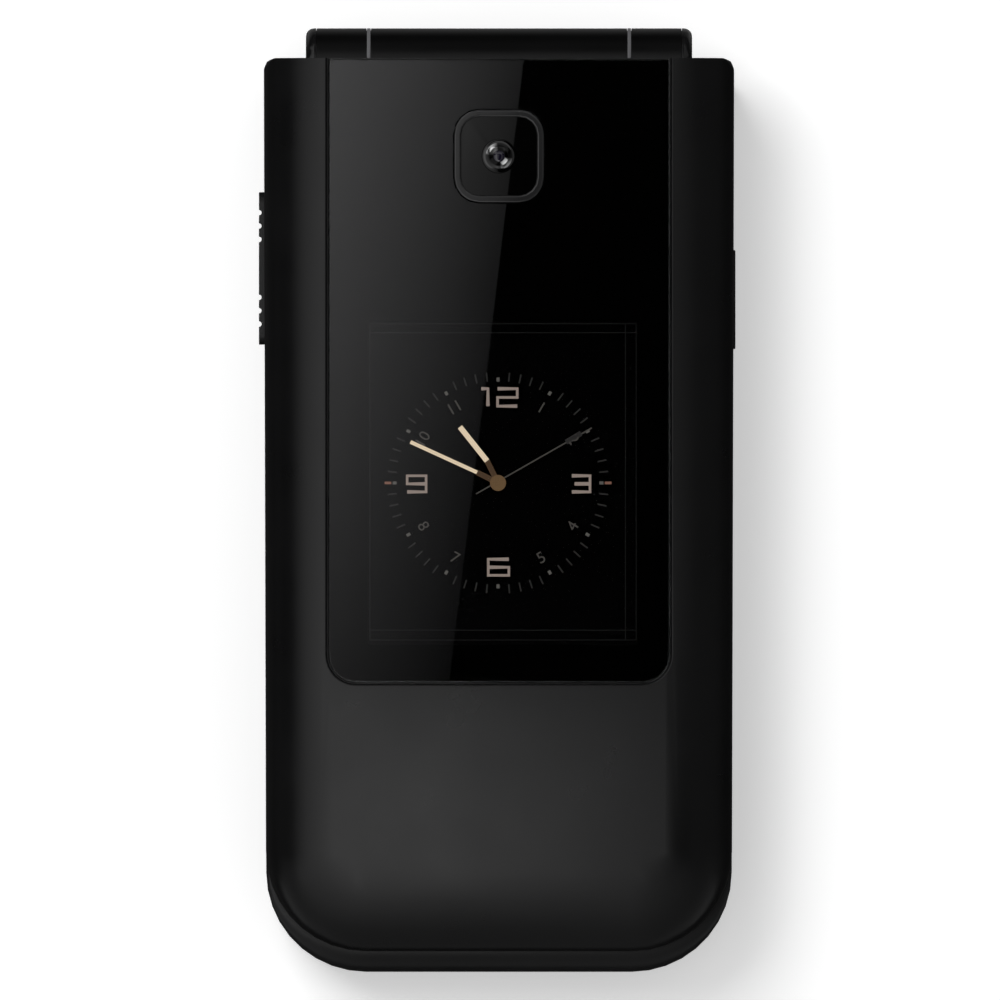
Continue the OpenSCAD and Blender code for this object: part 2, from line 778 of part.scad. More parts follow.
module battery_cover() color([0.12, 0.12, 0.13]) {
    difference() {
        intersection() {
            base_form();
            span([-body_w, end_y - cut, 0], [body_w, cover_top_y, cover_rim_h]);
        }
        prism(plan_outline(end_y, base_hinge_y + body_w, cover_rim_w), cover_t, cover_rim_h + cut);
    }
    both_sides() {
        span([tongue_x - tongue_w/2, cover_top_y - tongue_l, cover_t - fit],
            [tongue_x + tongue_w/2, cover_top_y, battery_z + fit + tongue_t]);
        span([tongue_x - tongue_w/2, cover_top_y - fit, battery_z + fit],
            [tongue_x + tongue_w/2, cover_top_y + tongue_l, battery_z + fit + tongue_t]);
    }
}

module battery() color("steelblue")
    pad([0, battery_y + battery_l/2], battery_w, battery_l, 1, battery_z, battery_z + battery_t);

module battery_connector() color("darkslategray") {
    span([contact_x - contact_w/2, battery_top_y + 2*fit, battery_z + rear_floor_t + fit],
        [contact_x + contact_w/2, battery_top_y + contact_l, board_z - fit/2]);
    for (i = [-1.5:1.5])
        translate([contact_x + contact_pitch*i, battery_top_y, battery_z + battery_t/2])
            span([-contact_blade_w/2, fit/2, 0], [contact_blade_w/2, 3*fit, contact_blade_h]);
}

module board_outline() {
    polygon(plan_outline(end_y, hinge_block_y + board_in - 1, board_in));
}

module main_board() color("darkgreen") {
    difference() {
        translate([0, 0, board_z]) linear_extrude(board_t) board_outline();
        at_screws(base_screw_at) post([0, 0], 0, base_t, post_r + 0.3);
        span([jack_x - jack_body_w/2 - fit, end_y, board_z - cut],
            [jack_x + jack_body_w/2 + fit, jack_mouth_y + jack_depth + jack_back_t + fit, base_t]);
    }
    for (s = [[-1, rocker_y - rocker_switch_y], [-1, rocker_y + rocker_switch_y], [1, button_y]])
        translate([s[0]*(half_w(s[1]) - board_in - switch_t/2), s[1], board_top_z - fit]) {
            span([-switch_t/2, -switch_l/2, 0], [switch_t/2, switch_l/2, switch_h + fit]);
            span([min(0, s[0]*(switch_t/2 + switch_reach)), -0.8, 0.4],
                [max(0, s[0]*(switch_t/2 + switch_reach)), 0.8, switch_h]);
        }
}

module shield_cans() color("lightgray")
    both_sides() difference() {
        span([can_gap, can_low_y, rear_top_z + fit], [can_gap + can_w, can_high_y, board_z - fit/2]);
        span([can_gap + can_t, can_low_y + can_t, rear_top_z + fit + can_t],
            [can_gap + can_w - can_t, can_high_y - can_t, board_z + cut]);
    }

module keypad_sheet(z0, z1) {
    pad([0, (keypad_top_y + keypad_end_y)/2], 2*(half_w(keypad_y) - board_in - switch_t - 0.3),
        keypad_top_y - keypad_end_y, 1, z0, z1);
}

module dome_sheet() color("gainsboro") {
    keypad_sheet(dome_z, dome_z + dome_sheet_t);
    at_number_keys() post([0, 0], dome_z, dome_z + dome_sheet_t + dome_h, dome_r);
    at_side_keys() post([0, 0], dome_z, dome_z + dome_sheet_t + dome_h, dome_r);
    post([0, nav_y], dome_z, dome_z + dome_sheet_t + dome_h, dome_r);
    for (a = [0:90:270])
        post([nav_dome_r*cos(a), nav_y + nav_dome_r*sin(a)], dome_z, dome_z + dome_sheet_t + dome_h,
            dome_r);
}

module keypad_membrane() color("whitesmoke") keypad_sheet(membrane_z, membrane_top_z);

module sim_holder() color("silver") difference() {
    span([sim_x - sim_w/2, sim_y - sim_l/2, bay_floor_z],
        [sim_x + sim_w/2, sim_y + sim_l/2, bay_floor_z + sim_t]);
    span([sim_x - sim_w/2 + sim_rim, sim_y - sim_l/2 + sim_rim, bay_floor_z - cut],
        [sim_x + sim_w/2 + cut, sim_y + sim_l/2 - sim_rim, bay_floor_z + sim_t - sim_roof_t]);
}

module usb_socket() color("silver") {
    difference() {
        span([-usb_w/2, usb_mouth_y, usb_z], [usb_w/2, usb_mouth_y + usb_depth, usb_z + usb_h]);
        span([usb_shell_t - usb_w/2, usb_mouth_y - cut, usb_z + usb_shell_t],
            [usb_w/2 - usb_shell_t, usb_mouth_y + usb_depth - 0.8, usb_z + usb_h - usb_shell_t]);
    }
    span([-1.9, usb_mouth_y + 1, usb_z + usb_h - 1.1],
        [1.9, usb_mouth_y + usb_depth - 0.4, usb_z + usb_h - 0.7]);
}

module headphone_socket() color("black") difference() {
    union() {
        span([jack_x - jack_body_w/2, end_y + wall_t + 2*fit, jack_z - jack_body_h/2],
            [jack_x + jack_body_w/2, jack_mouth_y + jack_depth + jack_back_t,
             jack_z + jack_body_h/2]);
        translate([jack_x, jack_mouth_y, jack_z]) rotate([-90, 0, 0])
            cylinder(h = jack_nose_l, r = jack_nose_r);
    }
    translate([jack_x, jack_mouth_y - cut, jack_z]) rotate([-90, 0, 0])
        cylinder(h = jack_depth + cut, r = jack_r);
}

module microphone() color("goldenrod")
    post([mic_x, end_y + mic_in], board_top_z + fit/2, plate_z - fit, mic_r);

module loudspeaker() color("dimgray") {
    pad([speaker_x, speaker_y], speaker_w, speaker_l, speaker_r, battery_z + fit,
        rear_top_z - fit - speaker_rim_t);
    pad([speaker_x, speaker_y], speaker_w - 2*speaker_rim, speaker_l - 2*speaker_rim,
        speaker_r, battery_z + 2*fit, rear_top_z - fit/2);
}

module vibration_motor() color("silver")
    post([motor_x, end_y + motor_in], board_z - fit/2 - motor_t, board_z - fit/2, motor_r);

module antenna() color("peru") {
    span([-antenna_half, antenna_y - antenna_l, battery_z + fit],
        [antenna_half, antenna_y, battery_z + fit + antenna_t]);
    span([antenna_tail_x, antenna_tail_y, battery_z + fit],
        [antenna_tail_x + antenna_tail_w, antenna_y - fit, battery_z + fit + antenna_tail_t]);
    span([antenna_tail_x, antenna_tail_y, battery_z + fit],
        [antenna_tail_x + antenna_tail_w, antenna_tail_y + antenna_tail_t, board_z - fit/2]);
}

module screw(head_z, seat_z) {
    post([0, 0], head_z, head_z + screw_head_h, screw_head_r);
    post([0, 0], head_z + screw_head_h - fit, seat_z + screw_bite, screw_r);
}

module base_screws() color("silver") at_screws(base_screw_at) difference() {
    screw(screw_head_z, screw_seat_z);
    span([-0.9, -0.15, screw_head_z - cut], [0.9, 0.15, screw_head_z + 0.4]);
    span([-0.15, -0.9, screw_head_z - cut], [0.15, 0.9, screw_head_z + 0.4]);
}

// ---- Hinge: the housing and spring turn with the lid, the cam shaft and bush stay in the base ----

module hinge_cam_shaft() color("silver") {
    axis_rod(housing_x + 2*fit, seam_half + cut, shaft_r);
    axis_rod(barrel_half - 2*fit - cam_t, barrel_half - 2*fit, hinge_unit_r - housing_wall - fit);
    intersection() {
        axis_rod(seam_half, knuckle_stop, hinge_unit_r);
        span([seam_half, axis_y - cam_flat, 0], [knuckle_half, axis_y + cam_flat, lid_top_z]);
    }
}

module hinge_housing() color("gray") difference() {
    axis_rod(housing_x, barrel_half - fit, hinge_unit_r);
    axis_rod(housing_x + housing_end_t, barrel_half + cut, hinge_unit_r - housing_wall);
    axis_rod(housing_x - cut, barrel_half, shaft_r + run_fit);
}

module hinge_spring() color("lightgray") difference() {
    axis_rod(housing_x + housing_end_t + fit, barrel_half - 3*fit - cam_t,
        hinge_unit_r - housing_wall - fit);
    axis_rod(0, barrel_half, shaft_r + fit);
}

module hinge_bush() color("gray") difference() {
    axis_rod(-knuckle_stop, bush_grip - barrel_half, hinge_unit_r);
    axis_rod(-knuckle_half, 0, bush_bore_r);
    span([flex_x - flex_w/2 - fit, axis_y - hinge_unit_r - cut, flex_z - fit],
        [flex_x + flex_w/2 + fit, axis_y + flex_grip + fit, flex_z + 3*flex_t + fit]);
}

module knuckle_caps() color([0.08, 0.08, 0.09]) both_sides()
    translate([0, axis_y, axis_z]) rotate([0, 90, 0]) {
        rotate_extrude() polygon(concat(
            [[0, knuckle_half - cap_t + seam/2], [barrel_r, knuckle_half - cap_t + seam/2]],
            [for (i = [0:arc_steps]) let (a = 90*i/arc_steps)
                [barrel_r - cap_round*(1 - cos(a)), knuckle_half - cap_round*(1 - sin(a))]],
            [[0, knuckle_half]]));
        translate([0, 0, knuckle_stop + fit])
            cylinder(h = knuckle_half - cap_t/2 - knuckle_stop - fit, r = cam_flat - set_fit);
    }

module hinge_washers() color("darkgray") both_sides() difference() {
    axis_rod(barrel_half + fit/2, barrel_half + fit/2 + washer_t, barrel_r);
    axis_rod(0, seam_half, hinge_unit_r + run_fit);
}

module hinge_flex_base() color("orange") {
    axis_rod(-knuckle_stop + fit, flex_split_x - fit, flex_r);
    span([flex_x - flex_w/2, axis_y - flex_grip, flex_z],
        [flex_x + flex_w/2, axis_y + flex_grip, axis_z]);
    span([flex_x - flex_w/2, flex_board_y, flex_z],
        [flex_x + flex_w/2, axis_y + flex_grip, flex_z + flex_t]);
    span([flex_x - flex_w/2, flex_board_y, board_top_z + fit/2],
        [flex_x + flex_w/2, flex_board_y + flex_foot_l, flex_z + flex_t]);
}

module hinge_flex_lid() color("orange") {
    axis_rod(flex_split_x + fit, flex_lid_x + flex_w/2, flex_r);
    span([flex_lid_x - flex_w/2, axis_y - flex_grip, axis_z],
        [flex_lid_x + flex_w/2, axis_y + flex_grip, flex_lid_z + flex_t]);
    span([flex_lid_x - flex_w/2, lid_flex_y - lid_flex_foot_l, flex_lid_z],
        [flex_lid_x + flex_w/2, axis_y + flex_grip, flex_lid_z + flex_t]);
    span([flex_lid_x - flex_w/2, lid_flex_y - lid_flex_foot_l, flex_lid_z],
        [flex_lid_x + flex_w/2, lid_flex_y, lid_board_z - fit/2]);
}

// ---- Lid ----

module lid_outer_shell() color([0.10, 0.10, 0.11]) difference() {
    union() {
        difference() {
            lid_form();
            prism(plan_outline(lid_end_y, lid_hinge_y, lid_cavity_end), outer_z - cut,
                side_roll_z + 1);
            pad([0, (lid_end_y + lid_hinge_y)/2], 2*cavity_step_x,
                lid_hinge_y - lid_end_y - 2*cavity_step_y, cavity_r, outer_z, shelf_z);
        }
        at_screws(lid_screw_at) post([0, 0], lid_boss_top_z + fit, shelf_z + fit, post_r);
    }
    axis_rod(-knuckle_half - swing_gap, knuckle_half + swing_gap, channel_r);
    prism(window_outline(seam, lid_hinge_y + cut), window_z - fit/2, lid_top_z + cut);
    span([-outer_display_w/2 - mount_gap, outer_display_y - outer_display_l/2 - mount_gap, outer_z],
        [outer_display_w/2 + mount_gap, outer_display_y + outer_display_l/2 + mount_gap,
         lid_top_z]);
    post([0, camera_y], outer_z, lid_top_z, camera_barrel_r + mount_gap);
    at_screws(lid_screw_at) post([0, 0], lid_boss_top_z, lid_seat_z + screw_bite + 0.3,
        screw_r + pilot_clear);
}

module lid_inner_shell() color([0.13, 0.13, 0.14]) difference() {
    union() {
        prism(plan_outline(lid_end_y, lid_hinge_y, 0), lid_z, inner_top_z);
        axis_rod(-barrel_half, barrel_half, barrel_r);
        span([-barrel_half, axis_y - web_l, lid_z], [barrel_half, axis_y, lid_z + web_h]);
        at_screws(lid_screw_at) post([0, 0], lid_z, lid_boss_top_z, boss_r + head_clear + 0.2);
    }
    both_sides() axis_rod(barrel_half, knuckle_half + swing_gap, channel_r);
    axis_rod(-barrel_half - cut, barrel_half + cut, hinge_unit_r + run_fit);
    pad([0, main_display_y + view_offset], inner_window_w + 2*fit, inner_window_l + 2*fit,
        inner_window_r + fit, lid_z - cut, ledge_z);
    pad([0, main_display_y + view_offset], view_w, view_l, 1, lid_z, inner_top_z + cut);
    pad([0, earpiece_y], grille_w + 2*fit, grille_l + 2*fit, grille_l/2, lid_z - cut,
        lid_z + grille_t + fit);
    pad([0, earpiece_y], grille_hole_w, grille_hole_l, grille_hole_l/2 - 0.02, lid_z,
        inner_top_z + cut);
    post([magnet_x, earpiece_y], magnet_z - fit/2, inner_top_z + cut, magnet_r + fit);
    span([flex_lid_x - flex_w/2 - fit, axis_y - web_l - cut, flex_lid_z - fit],
        [flex_lid_x + flex_w/2 + fit, axis_y + flex_grip + fit, flex_lid_z + flex_t + fit]);
    at_screws(lid_screw_at) {
        post([0, 0], lid_z - cut, lid_head_z, bumper_r + fit/2);
        post([0, 0], lid_z - cut, lid_seat_z, screw_head_r + fit);
        post([0, 0], lid_z - cut, lid_boss_top_z + cut, screw_r + fit);
    }
}

module outer_window() color([0.03, 0.03, 0.04]) difference() {
    prism(window_outline(0, lid_hinge_y - seam), window_z, lid_top_z);
    pad([0, camera_y], bezel_w + 2*seam, bezel_l + 2*seam, bezel_r + seam, window_z - cut,
        lid_top_z + cut);
}

module camera_bezel() color("gray") difference() {
    pad([0, camera_y], bezel_w, bezel_l, bezel_r, window_z, lid_top_z + bezel_proud);
    pad([0, camera_y], bezel_w - 2*bezel_ring, bezel_l - 2*bezel_ring, bezel_r - bezel_ring,
        window_z + bezel_floor_t, lid_top_z + cut);
    post([0, camera_y], window_z - cut, lid_top_z, lens_r + set_fit);
}

module camera_lens() color("lightsteelblue")
    post([0, camera_y], window_z + fit/2, window_z + bezel_floor_t + lens_proud, lens_r);

module camera_module() color("darkslategray") {
    pad([0, camera_y], camera_side, camera_side, 0.6, camera_z, camera_z + camera_base_t);
    post([0, camera_y], camera_z, window_z - fit, camera_barrel_r);
}

module outer_display() color([0.05, 0.05, 0.06])
    pad([0, outer_display_y], outer_display_w, outer_display_l, display_r, outer_display_z,
        outer_display_z + outer_display_t);

module main_display() color([0.06, 0.07, 0.09])
    pad([0, main_display_y], main_display_w, main_display_l, display_r, main_display_z,
        main_display_z + main_display_t);

module inner_window() color([0.04, 0.04, 0.05])
    pad([0, main_display_y + view_offset], inner_window_w, inner_window_l, inner_window_r,
        inner_window_z, inner_window_z + inner_window_t);

module lid_board() color("darkgreen") {
    low_y = main_display_y - main_display_l/2 + 2;
    high_y = camera_y + camera_side/2;
    pad([0, (low_y + high_y)/2], lid_board_w, high_y - low_y, 1, lid_board_z,
        lid_board_z + lid_board_t);
}

module earpiece() color("dimgray")
    pad([0, earpiece_y], earpiece_w, earpiece_l, 2, inner_top_z + fit/2,
        inner_top_z + fit/2 + earpiece_t);

module earpiece_grille() color("silver") difference() {
    pad([0, earpiece_y], grille_w, grille_l, grille_l/2 - 0.02, lid_z + fit/2,
        lid_z + fit/2 + grille_t);
    for (i = [-3:3])
        pad([1.1*i, earpiece_y], 0.5, 1, 0.2, lid_z - cut, lid_z + cut);
}

module lid_magnet() color("silver")
    post([magnet_x, earpiece_y], magnet_z, magnet_z + magnet_t, magnet_r);

module lid_bumpers() color("dimgray") at_screws(lid_screw_at)
    post([0, 0], bumper_z, bumper_z + bumper_t, bumper_r);

module lid_screws() color("silver") at_screws(lid_screw_at) screw(lid_head_z, lid_seat_z);

// ---- Side buttons ----

module volume_rocker() color([0.07, 0.07, 0.08]) {
    skin_x = -half_w(rocker_y);
    inner_x = skin_x + wall_t;
    difference() {
        union() {
            translate([skin_x, rocker_y, side_z]) rotate([0, 90, 0])
                pad([0, 0], side_h, rocker_l, side_r, -rocker_proud, wall_t - 3*fit);
            span([inner_x - 4*fit, rocker_y - rocker_flange_l/2, side_z - side_h/2],
                [inner_x + rocker_play + fit, rocker_y + rocker_flange_l/2, side_z + side_h/2]);
            span([inner_x + rocker_play, rocker_y - rocker_flange_l/2, side_z - button_flange_h/2],
                [inner_x + rocker_play + side_flange_t, rocker_y + rocker_flange_l/2,
                 side_z + button_flange_h/2]);
            for (s = [-1, 1])
                translate([0, rocker_y + s*rocker_switch_y, side_z])
                    span([inner_x - 4*fit, -pusher_l/2, -2*fit],
                        [skin_x + pusher_in, pusher_l/2, side_h/2]);
        }
        for (s = [-1, 1])
            for (i = [0:ribs_per_end - 1])
                translate([skin_x - rocker_proud, rocker_y + s*(rib_first - (i + 0.5)*rib_pitch),
                    side_z - side_h]) cylinder(h = 2*side_h, r = rib_r, $fn = 24);
    }
}

module side_button() color([0.07, 0.07, 0.08]) {
    skin_x = half_w(button_y);
    inner_x = skin_x - wall_t;
    translate([skin_x, button_y, side_z]) rotate([0, 90, 0])
        pad([0, 0], side_h, button_l, side_r, -wall_t - 2*fit, button_proud);
    span([inner_x - fit - side_flange_t, button_y - button_flange_l/2, side_z - button_flange_h/2],
        [inner_x - fit, button_y + button_flange_l/2, side_z + button_flange_h/2]);
    span([skin_x - pusher_in, button_y - pusher_l/2, side_z - 2*fit],
        [inner_x, button_y + pusher_l/2, side_z + side_h/2]);
}

base_front_shell();
base_rear_shell();
battery_cover();
battery();
battery_connector();
main_board();
shield_cans();
dome_sheet();
keypad_membrane();
sim_holder();
usb_socket();
headphone_socket();
microphone();
loudspeaker();
vibration_motor();
antenna();
base_screws();
hinge_cam_shaft();
hinge_bush();
knuckle_caps();
hinge_flex_base();
lid_outer_shell();
lid_inner_shell();
outer_window();
camera_bezel();
camera_lens();
camera_module();
outer_display();
main_display();
inner_window();
lid_board();
earpiece();
earpiece_grille();
lid_magnet();
lid_bumpers();
lid_screws();
hinge_housing();
hinge_spring();
hinge_washers();
hinge_flex_lid();
nav_ring();
ok_key();
color("dimgray") side_key(-1, 1);  // left_soft_key
color("dimgray") side_key(1, 1);  // right_soft_key
color("seagreen") side_key(-1, -1);  // call_key
color("firebrick") side_key(1, -1);  // end_key
volume_rocker();
side_button();
for (row = [0:3])
    for (column = [0:2])
        number_key(row, column);
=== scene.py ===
import math

import bpy
from mathutils import Matrix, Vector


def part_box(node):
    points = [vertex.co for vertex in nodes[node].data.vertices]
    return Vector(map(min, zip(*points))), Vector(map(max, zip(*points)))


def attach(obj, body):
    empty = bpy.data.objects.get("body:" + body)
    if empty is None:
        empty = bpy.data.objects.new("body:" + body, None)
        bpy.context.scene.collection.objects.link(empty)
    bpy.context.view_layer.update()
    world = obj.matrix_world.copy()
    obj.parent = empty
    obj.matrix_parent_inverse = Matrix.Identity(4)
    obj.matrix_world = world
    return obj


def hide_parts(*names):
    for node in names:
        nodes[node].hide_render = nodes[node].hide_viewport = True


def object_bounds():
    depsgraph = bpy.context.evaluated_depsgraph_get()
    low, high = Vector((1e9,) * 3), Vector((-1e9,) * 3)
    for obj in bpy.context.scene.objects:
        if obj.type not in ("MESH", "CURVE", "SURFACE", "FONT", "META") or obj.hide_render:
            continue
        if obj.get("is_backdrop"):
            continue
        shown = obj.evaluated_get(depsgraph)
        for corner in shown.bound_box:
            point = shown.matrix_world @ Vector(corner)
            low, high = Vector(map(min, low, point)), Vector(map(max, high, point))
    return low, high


# The frame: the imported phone, closed and lying on its back, with +Y to the hinge and +Z up through
# the lid. Everything is in metres, and mm turns a size in millimetres into metres.
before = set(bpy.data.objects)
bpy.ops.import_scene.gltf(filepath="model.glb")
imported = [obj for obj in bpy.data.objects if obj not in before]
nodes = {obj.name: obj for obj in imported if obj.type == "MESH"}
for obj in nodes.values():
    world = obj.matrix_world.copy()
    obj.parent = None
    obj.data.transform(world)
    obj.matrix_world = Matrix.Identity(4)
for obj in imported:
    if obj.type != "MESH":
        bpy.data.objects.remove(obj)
cad_low, cad_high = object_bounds()
mm = 0.001


# Rear shell: black moulded plastic with an eroded grain, made in one shot. It carries the battery
# bay, the slots of the loudspeaker and the posts that the base screws pass through.
def pick(*pieces):
    """Leaves only these pieces selected, the last one active."""
    bpy.ops.object.select_all(action="DESELECT")
    for piece in pieces:
        piece.select_set(True)
    bpy.context.view_layer.objects.active = pieces[-1]


def apply_all(piece):
    """Applies the piece's modifiers in their order."""
    pick(piece)
    for modifier in list(piece.modifiers):
        bpy.ops.object.modifier_apply(modifier=modifier.name)


def paint(piece, *materials):
    """Gives the piece these materials, in this order, in place of any it has."""
    piece.data.materials.clear()
    for material in materials:
        piece.data.materials.append(material)


def added(tree, kind, values=None, operation=None):
    """New node of a shader tree, with these values on its inputs."""
    node = tree.nodes.new(kind)
    if operation:
        node.operation = operation
    for socket, value in (values or {}).items():
        node.inputs[socket].default_value = value
    return node


def finish(name, colour, roughness, grain, depth, mottle=0.12, metallic=0.0, specular=0.5,
           stretch=(1, 1, 1)):
    """Surface with a fine grain in its bump, and slow patches in its colour and gloss. Grain and
    depth are lengths; stretch packs the grain along an axis, as brushing and rolling do."""
    patch, dark_end, light_end, gloss_swing = 9 * mm, 0.3, 0.7, 0.1
    material = bpy.data.materials.new(name)
    material.use_nodes = True
    tree = material.node_tree
    shader = tree.nodes["Principled BSDF"]
    shader.inputs["Metallic"].default_value = metallic
    shader.inputs["Specular IOR Level"].default_value = specular
    place = added(tree, "ShaderNodeTexCoord")
    drawn = added(tree, "ShaderNodeMapping", {"Scale": stretch})
    fine = added(tree, "ShaderNodeTexNoise", {"Scale": 1 / grain, "Detail": 3})
    bump = added(tree, "ShaderNodeBump", {"Strength": 1, "Distance": depth})
    slow = added(tree, "ShaderNodeTexNoise", {"Scale": 1 / patch, "Detail": 5})
    shade = added(tree, "ShaderNodeValToRGB")
    low, high = shade.color_ramp.elements
    low.position, high.position = dark_end, light_end
    low.color = [c * (1 - mottle) for c in colour] + [1]
    high.color = [c * (1 + mottle) for c in colour] + [1]
    gloss = added(tree, "ShaderNodeMapRange", {
        "From Min": dark_end, "From Max": light_end,
        "To Min": roughness * (1 - gloss_swing), "To Max": roughness * (1 + gloss_swing)})
    link = tree.links.new
    link(place.outputs["Object"], drawn.inputs["Vector"])
    link(drawn.outputs["Vector"], fine.inputs["Vector"])
    link(fine.outputs[0], bump.inputs["Height"])
    link(bump.outputs["Normal"], shader.inputs["Normal"])
    link(place.outputs["Object"], slow.inputs["Vector"])
    link(slow.outputs[0], shade.inputs["Fac"])
    link(shade.outputs["Color"], shader.inputs["Base Color"])
    link(slow.outputs[0], gloss.inputs["Value"])
    link(gloss.outputs["Result"], shader.inputs["Roughness"])
    return material


def smooth(piece, angle=30):
    """Smooth shading up to angle, with flat faces kept flat next to their rounded edges."""
    pick(piece)
    bpy.ops.object.shade_smooth_by_angle(angle=math.radians(angle))
    weigh = piece.modifiers.new("weigh", "WEIGHTED_NORMAL")
    weigh.keep_sharp = True
    apply_all(piece)


def settle(piece, body, replaces=()):
    """Hangs the piece on its body, and hides the nodes that it stands for."""
    if replaces:
        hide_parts(*replaces)
    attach(piece, body)


def merged_copy(node, name):
    """Copy of a CAD node, its triangles merged into whole faces."""
    same_spot, same_plane = 0.002 * mm, math.radians(0.2)
    piece = bpy.data.objects.new(name, nodes[node].data.copy())
    piece.data.name = name
    bpy.context.scene.collection.objects.link(piece)
    pick(piece)
    bpy.ops.object.mode_set(mode="EDIT")
    bpy.ops.mesh.select_all(action="SELECT")
    bpy.ops.mesh.remove_doubles(threshold=same_spot)
    bpy.ops.mesh.dissolve_limited(angle_limit=same_plane)
    bpy.ops.object.mode_set(mode="OBJECT")
    return piece


def broken_edges(piece, width, segments=2):
    """Rounds every sharp edge."""
    sharp = math.radians(50)
    bevel = piece.modifiers.new("edge", "BEVEL")
    bevel.width = width
    bevel.segments = segments
    bevel.limit_method = "ANGLE"
    bevel.angle_limit = sharp
    apply_all(piece)


def dressed(node, name, material, body, edge, segments=2):
    """Finished copy of a CAD node: merged, its sharp edges broken, and smooth."""
    piece = merged_copy(node, name)
    broken_edges(piece, edge, segments)
    smooth(piece)
    paint(piece, material)
    settle(piece, body, [node])
    return piece


rear_plastic = finish("rear_plastic", (0.02, 0.02, 0.0205), 0.5, 0.22 * mm, 0.02 * mm)
dressed("base_rear_shell", "rear_case", rear_plastic, "base", 0.06 * mm)


# Battery: a flat cell in a printed wrap, with a plain label and three gold pads at the end that
# meets the connector. The connector's four sprung blades stand in a moulded black block.
def block(name, low, high):
    """Block between two corners, to be shaped further."""
    bpy.ops.mesh.primitive_cube_add(size=1)
    piece = bpy.context.object
    piece.name = piece.data.name = name
    bpy.ops.object.mode_set(mode="EDIT")
    bpy.ops.transform.resize(value=[b - a for a, b in zip(low, high)])
    bpy.ops.transform.translate(value=[(a + b) / 2 for a, b in zip(low, high)])
    bpy.ops.object.mode_set(mode="OBJECT")
    return piece


def joined(name, pieces):
    """One piece out of several."""
    pick(*pieces)
    if len(pieces) > 1:
        bpy.ops.object.join()
    piece = bpy.context.object
    piece.name = piece.data.name = name
    return piece


battery_wrap = finish("battery_wrap", (0.07, 0.08, 0.09), 0.35, 0.4 * mm, 0.004 * mm)
dressed("battery", "battery_pack", battery_wrap, "base", 0.5 * mm, 4)
label_paper = finish("label_paper", (0.35, 0.36, 0.37), 0.5, 0.1 * mm, 0.002 * mm, mottle=0.04)
battery_low, battery_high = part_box("battery")
label_in, label_end, label_t = 4 * mm, 10 * mm, 0.03 * mm
label = block("battery_label", (battery_low[0] + label_in, battery_low[1] + label_in,
                                battery_low[2] - label_t),
              (battery_high[0] - label_in, battery_high[1] - label_end, battery_low[2]))
broken_edges(label, 0.012 * mm, 1)
paint(label, label_paper)
settle(label, "base")
gold = finish("gold", (0.75, 0.52, 0.22), 0.25, 0.1 * mm, 0.002 * mm, metallic=1.0)
connector_low, connector_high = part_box("battery_connector")
pad_pitch, pad_w, pad_h, pad_t, pad_rise = 1.9 * mm, 1.2 * mm, 1.6 * mm, 0.03 * mm, 0.6 * mm
pads = []
for i in range(4):
    x = (connector_low[0] + connector_high[0]) / 2 + (i - 1.5) * pad_pitch
    z = (battery_low[2] + battery_high[2]) / 2 + pad_rise
    pads.append(block("pad", (x - pad_w / 2, battery_high[1], z - pad_h / 2),
                      (x + pad_w / 2, battery_high[1] + pad_t, z + pad_h / 2)))
contacts = joined("battery_contacts", pads)
broken_edges(contacts, 0.01 * mm, 1)
paint(contacts, gold)
settle(contacts, "base")
dark_plastic = finish("dark_plastic", (0.02, 0.02, 0.021), 0.4, 0.15 * mm, 0.008 * mm)
paint(nodes["battery_connector"], dark_plastic)

# Main board: green solder mask over copper traces, with its chips round and under two tinned cans.
# The card's holder, the charging socket, the microphone and the motor are soldered to it.
board_green = finish("board_green", (0.012, 0.075, 0.035), 0.3, 0.6 * mm, 0.03 * mm, mottle=0.35,
                     stretch=(1, 0.25, 1))
tinned = finish("tinned_steel", (0.6, 0.6, 0.58), 0.32, 0.25 * mm, 0.004 * mm, metallic=1.0,
                stretch=(1, 0.2, 1))
for node in ("main_board", "lid_board"):
    paint(nodes[node], board_green)
dressed("shield_cans", "can_lids", tinned, "base", 0.05 * mm)
dressed("sim_holder", "card_holder", tinned, "base", 0.03 * mm)
dressed("usb_socket", "charging_socket_shell", tinned, "base", 0.06 * mm)
dressed("vibration_motor", "motor_can", tinned, "base", 0.2 * mm)
dressed("headphone_socket", "headphone_socket_body", dark_plastic, "base",
        0.04 * mm)
dressed("microphone", "microphone_can", gold, "base", 0.1 * mm)
dressed("loudspeaker", "loudspeaker_body", dark_plastic, "base", 0.1 * mm)
chip_plastic = finish("chip_plastic", (0.015, 0.015, 0.016), 0.45, 0.12 * mm, 0.006 * mm)
board_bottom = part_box("main_board")[0][2]
chips = []
# each chip's place, width, length and thickness, in millimetres
for x, y, w, l, t in ((7, 40, 8, 4, 0.9), (-7, 40, 6, 4, 0.8), (12, -36, 5, 4, 0.9),
                      (4, -40, 3, 3, 0.7), (-18, -30, 4, 3, 0.8), (18, -27, 3, 5, 0.8)):
    chips.append(block("chip", ((x - w / 2) * mm, (y - l / 2) * mm, board_bottom - t * mm),
                       ((x + w / 2) * mm, (y + l / 2) * mm, board_bottom)))
chip_set = joined("board_chips", chips)
broken_edges(chip_set, 0.08 * mm, 1)
paint(chip_set, chip_plastic)
settle(chip_set, "base")
copper = finish("copper_foil", (0.55, 0.28, 0.13), 0.3, 0.2 * mm, 0.004 * mm, metallic=1.0)
dressed("antenna", "antenna_foil", copper, "base", 0.05 * mm)

# Dome sheet and membrane: steel domes under a clear polyester sheet, and a milky silicone membrane
# that the keys press on.
clear_film = finish("clear_film", (0.6, 0.61, 0.62), 0.25, 0.3 * mm, 0.003 * mm)
silicone = finish("silicone", (0.55, 0.56, 0.57), 0.5, 0.2 * mm, 0.008 * mm)
paint(nodes["dome_sheet"], clear_film)
paint(nodes["keypad_membrane"], silicone)

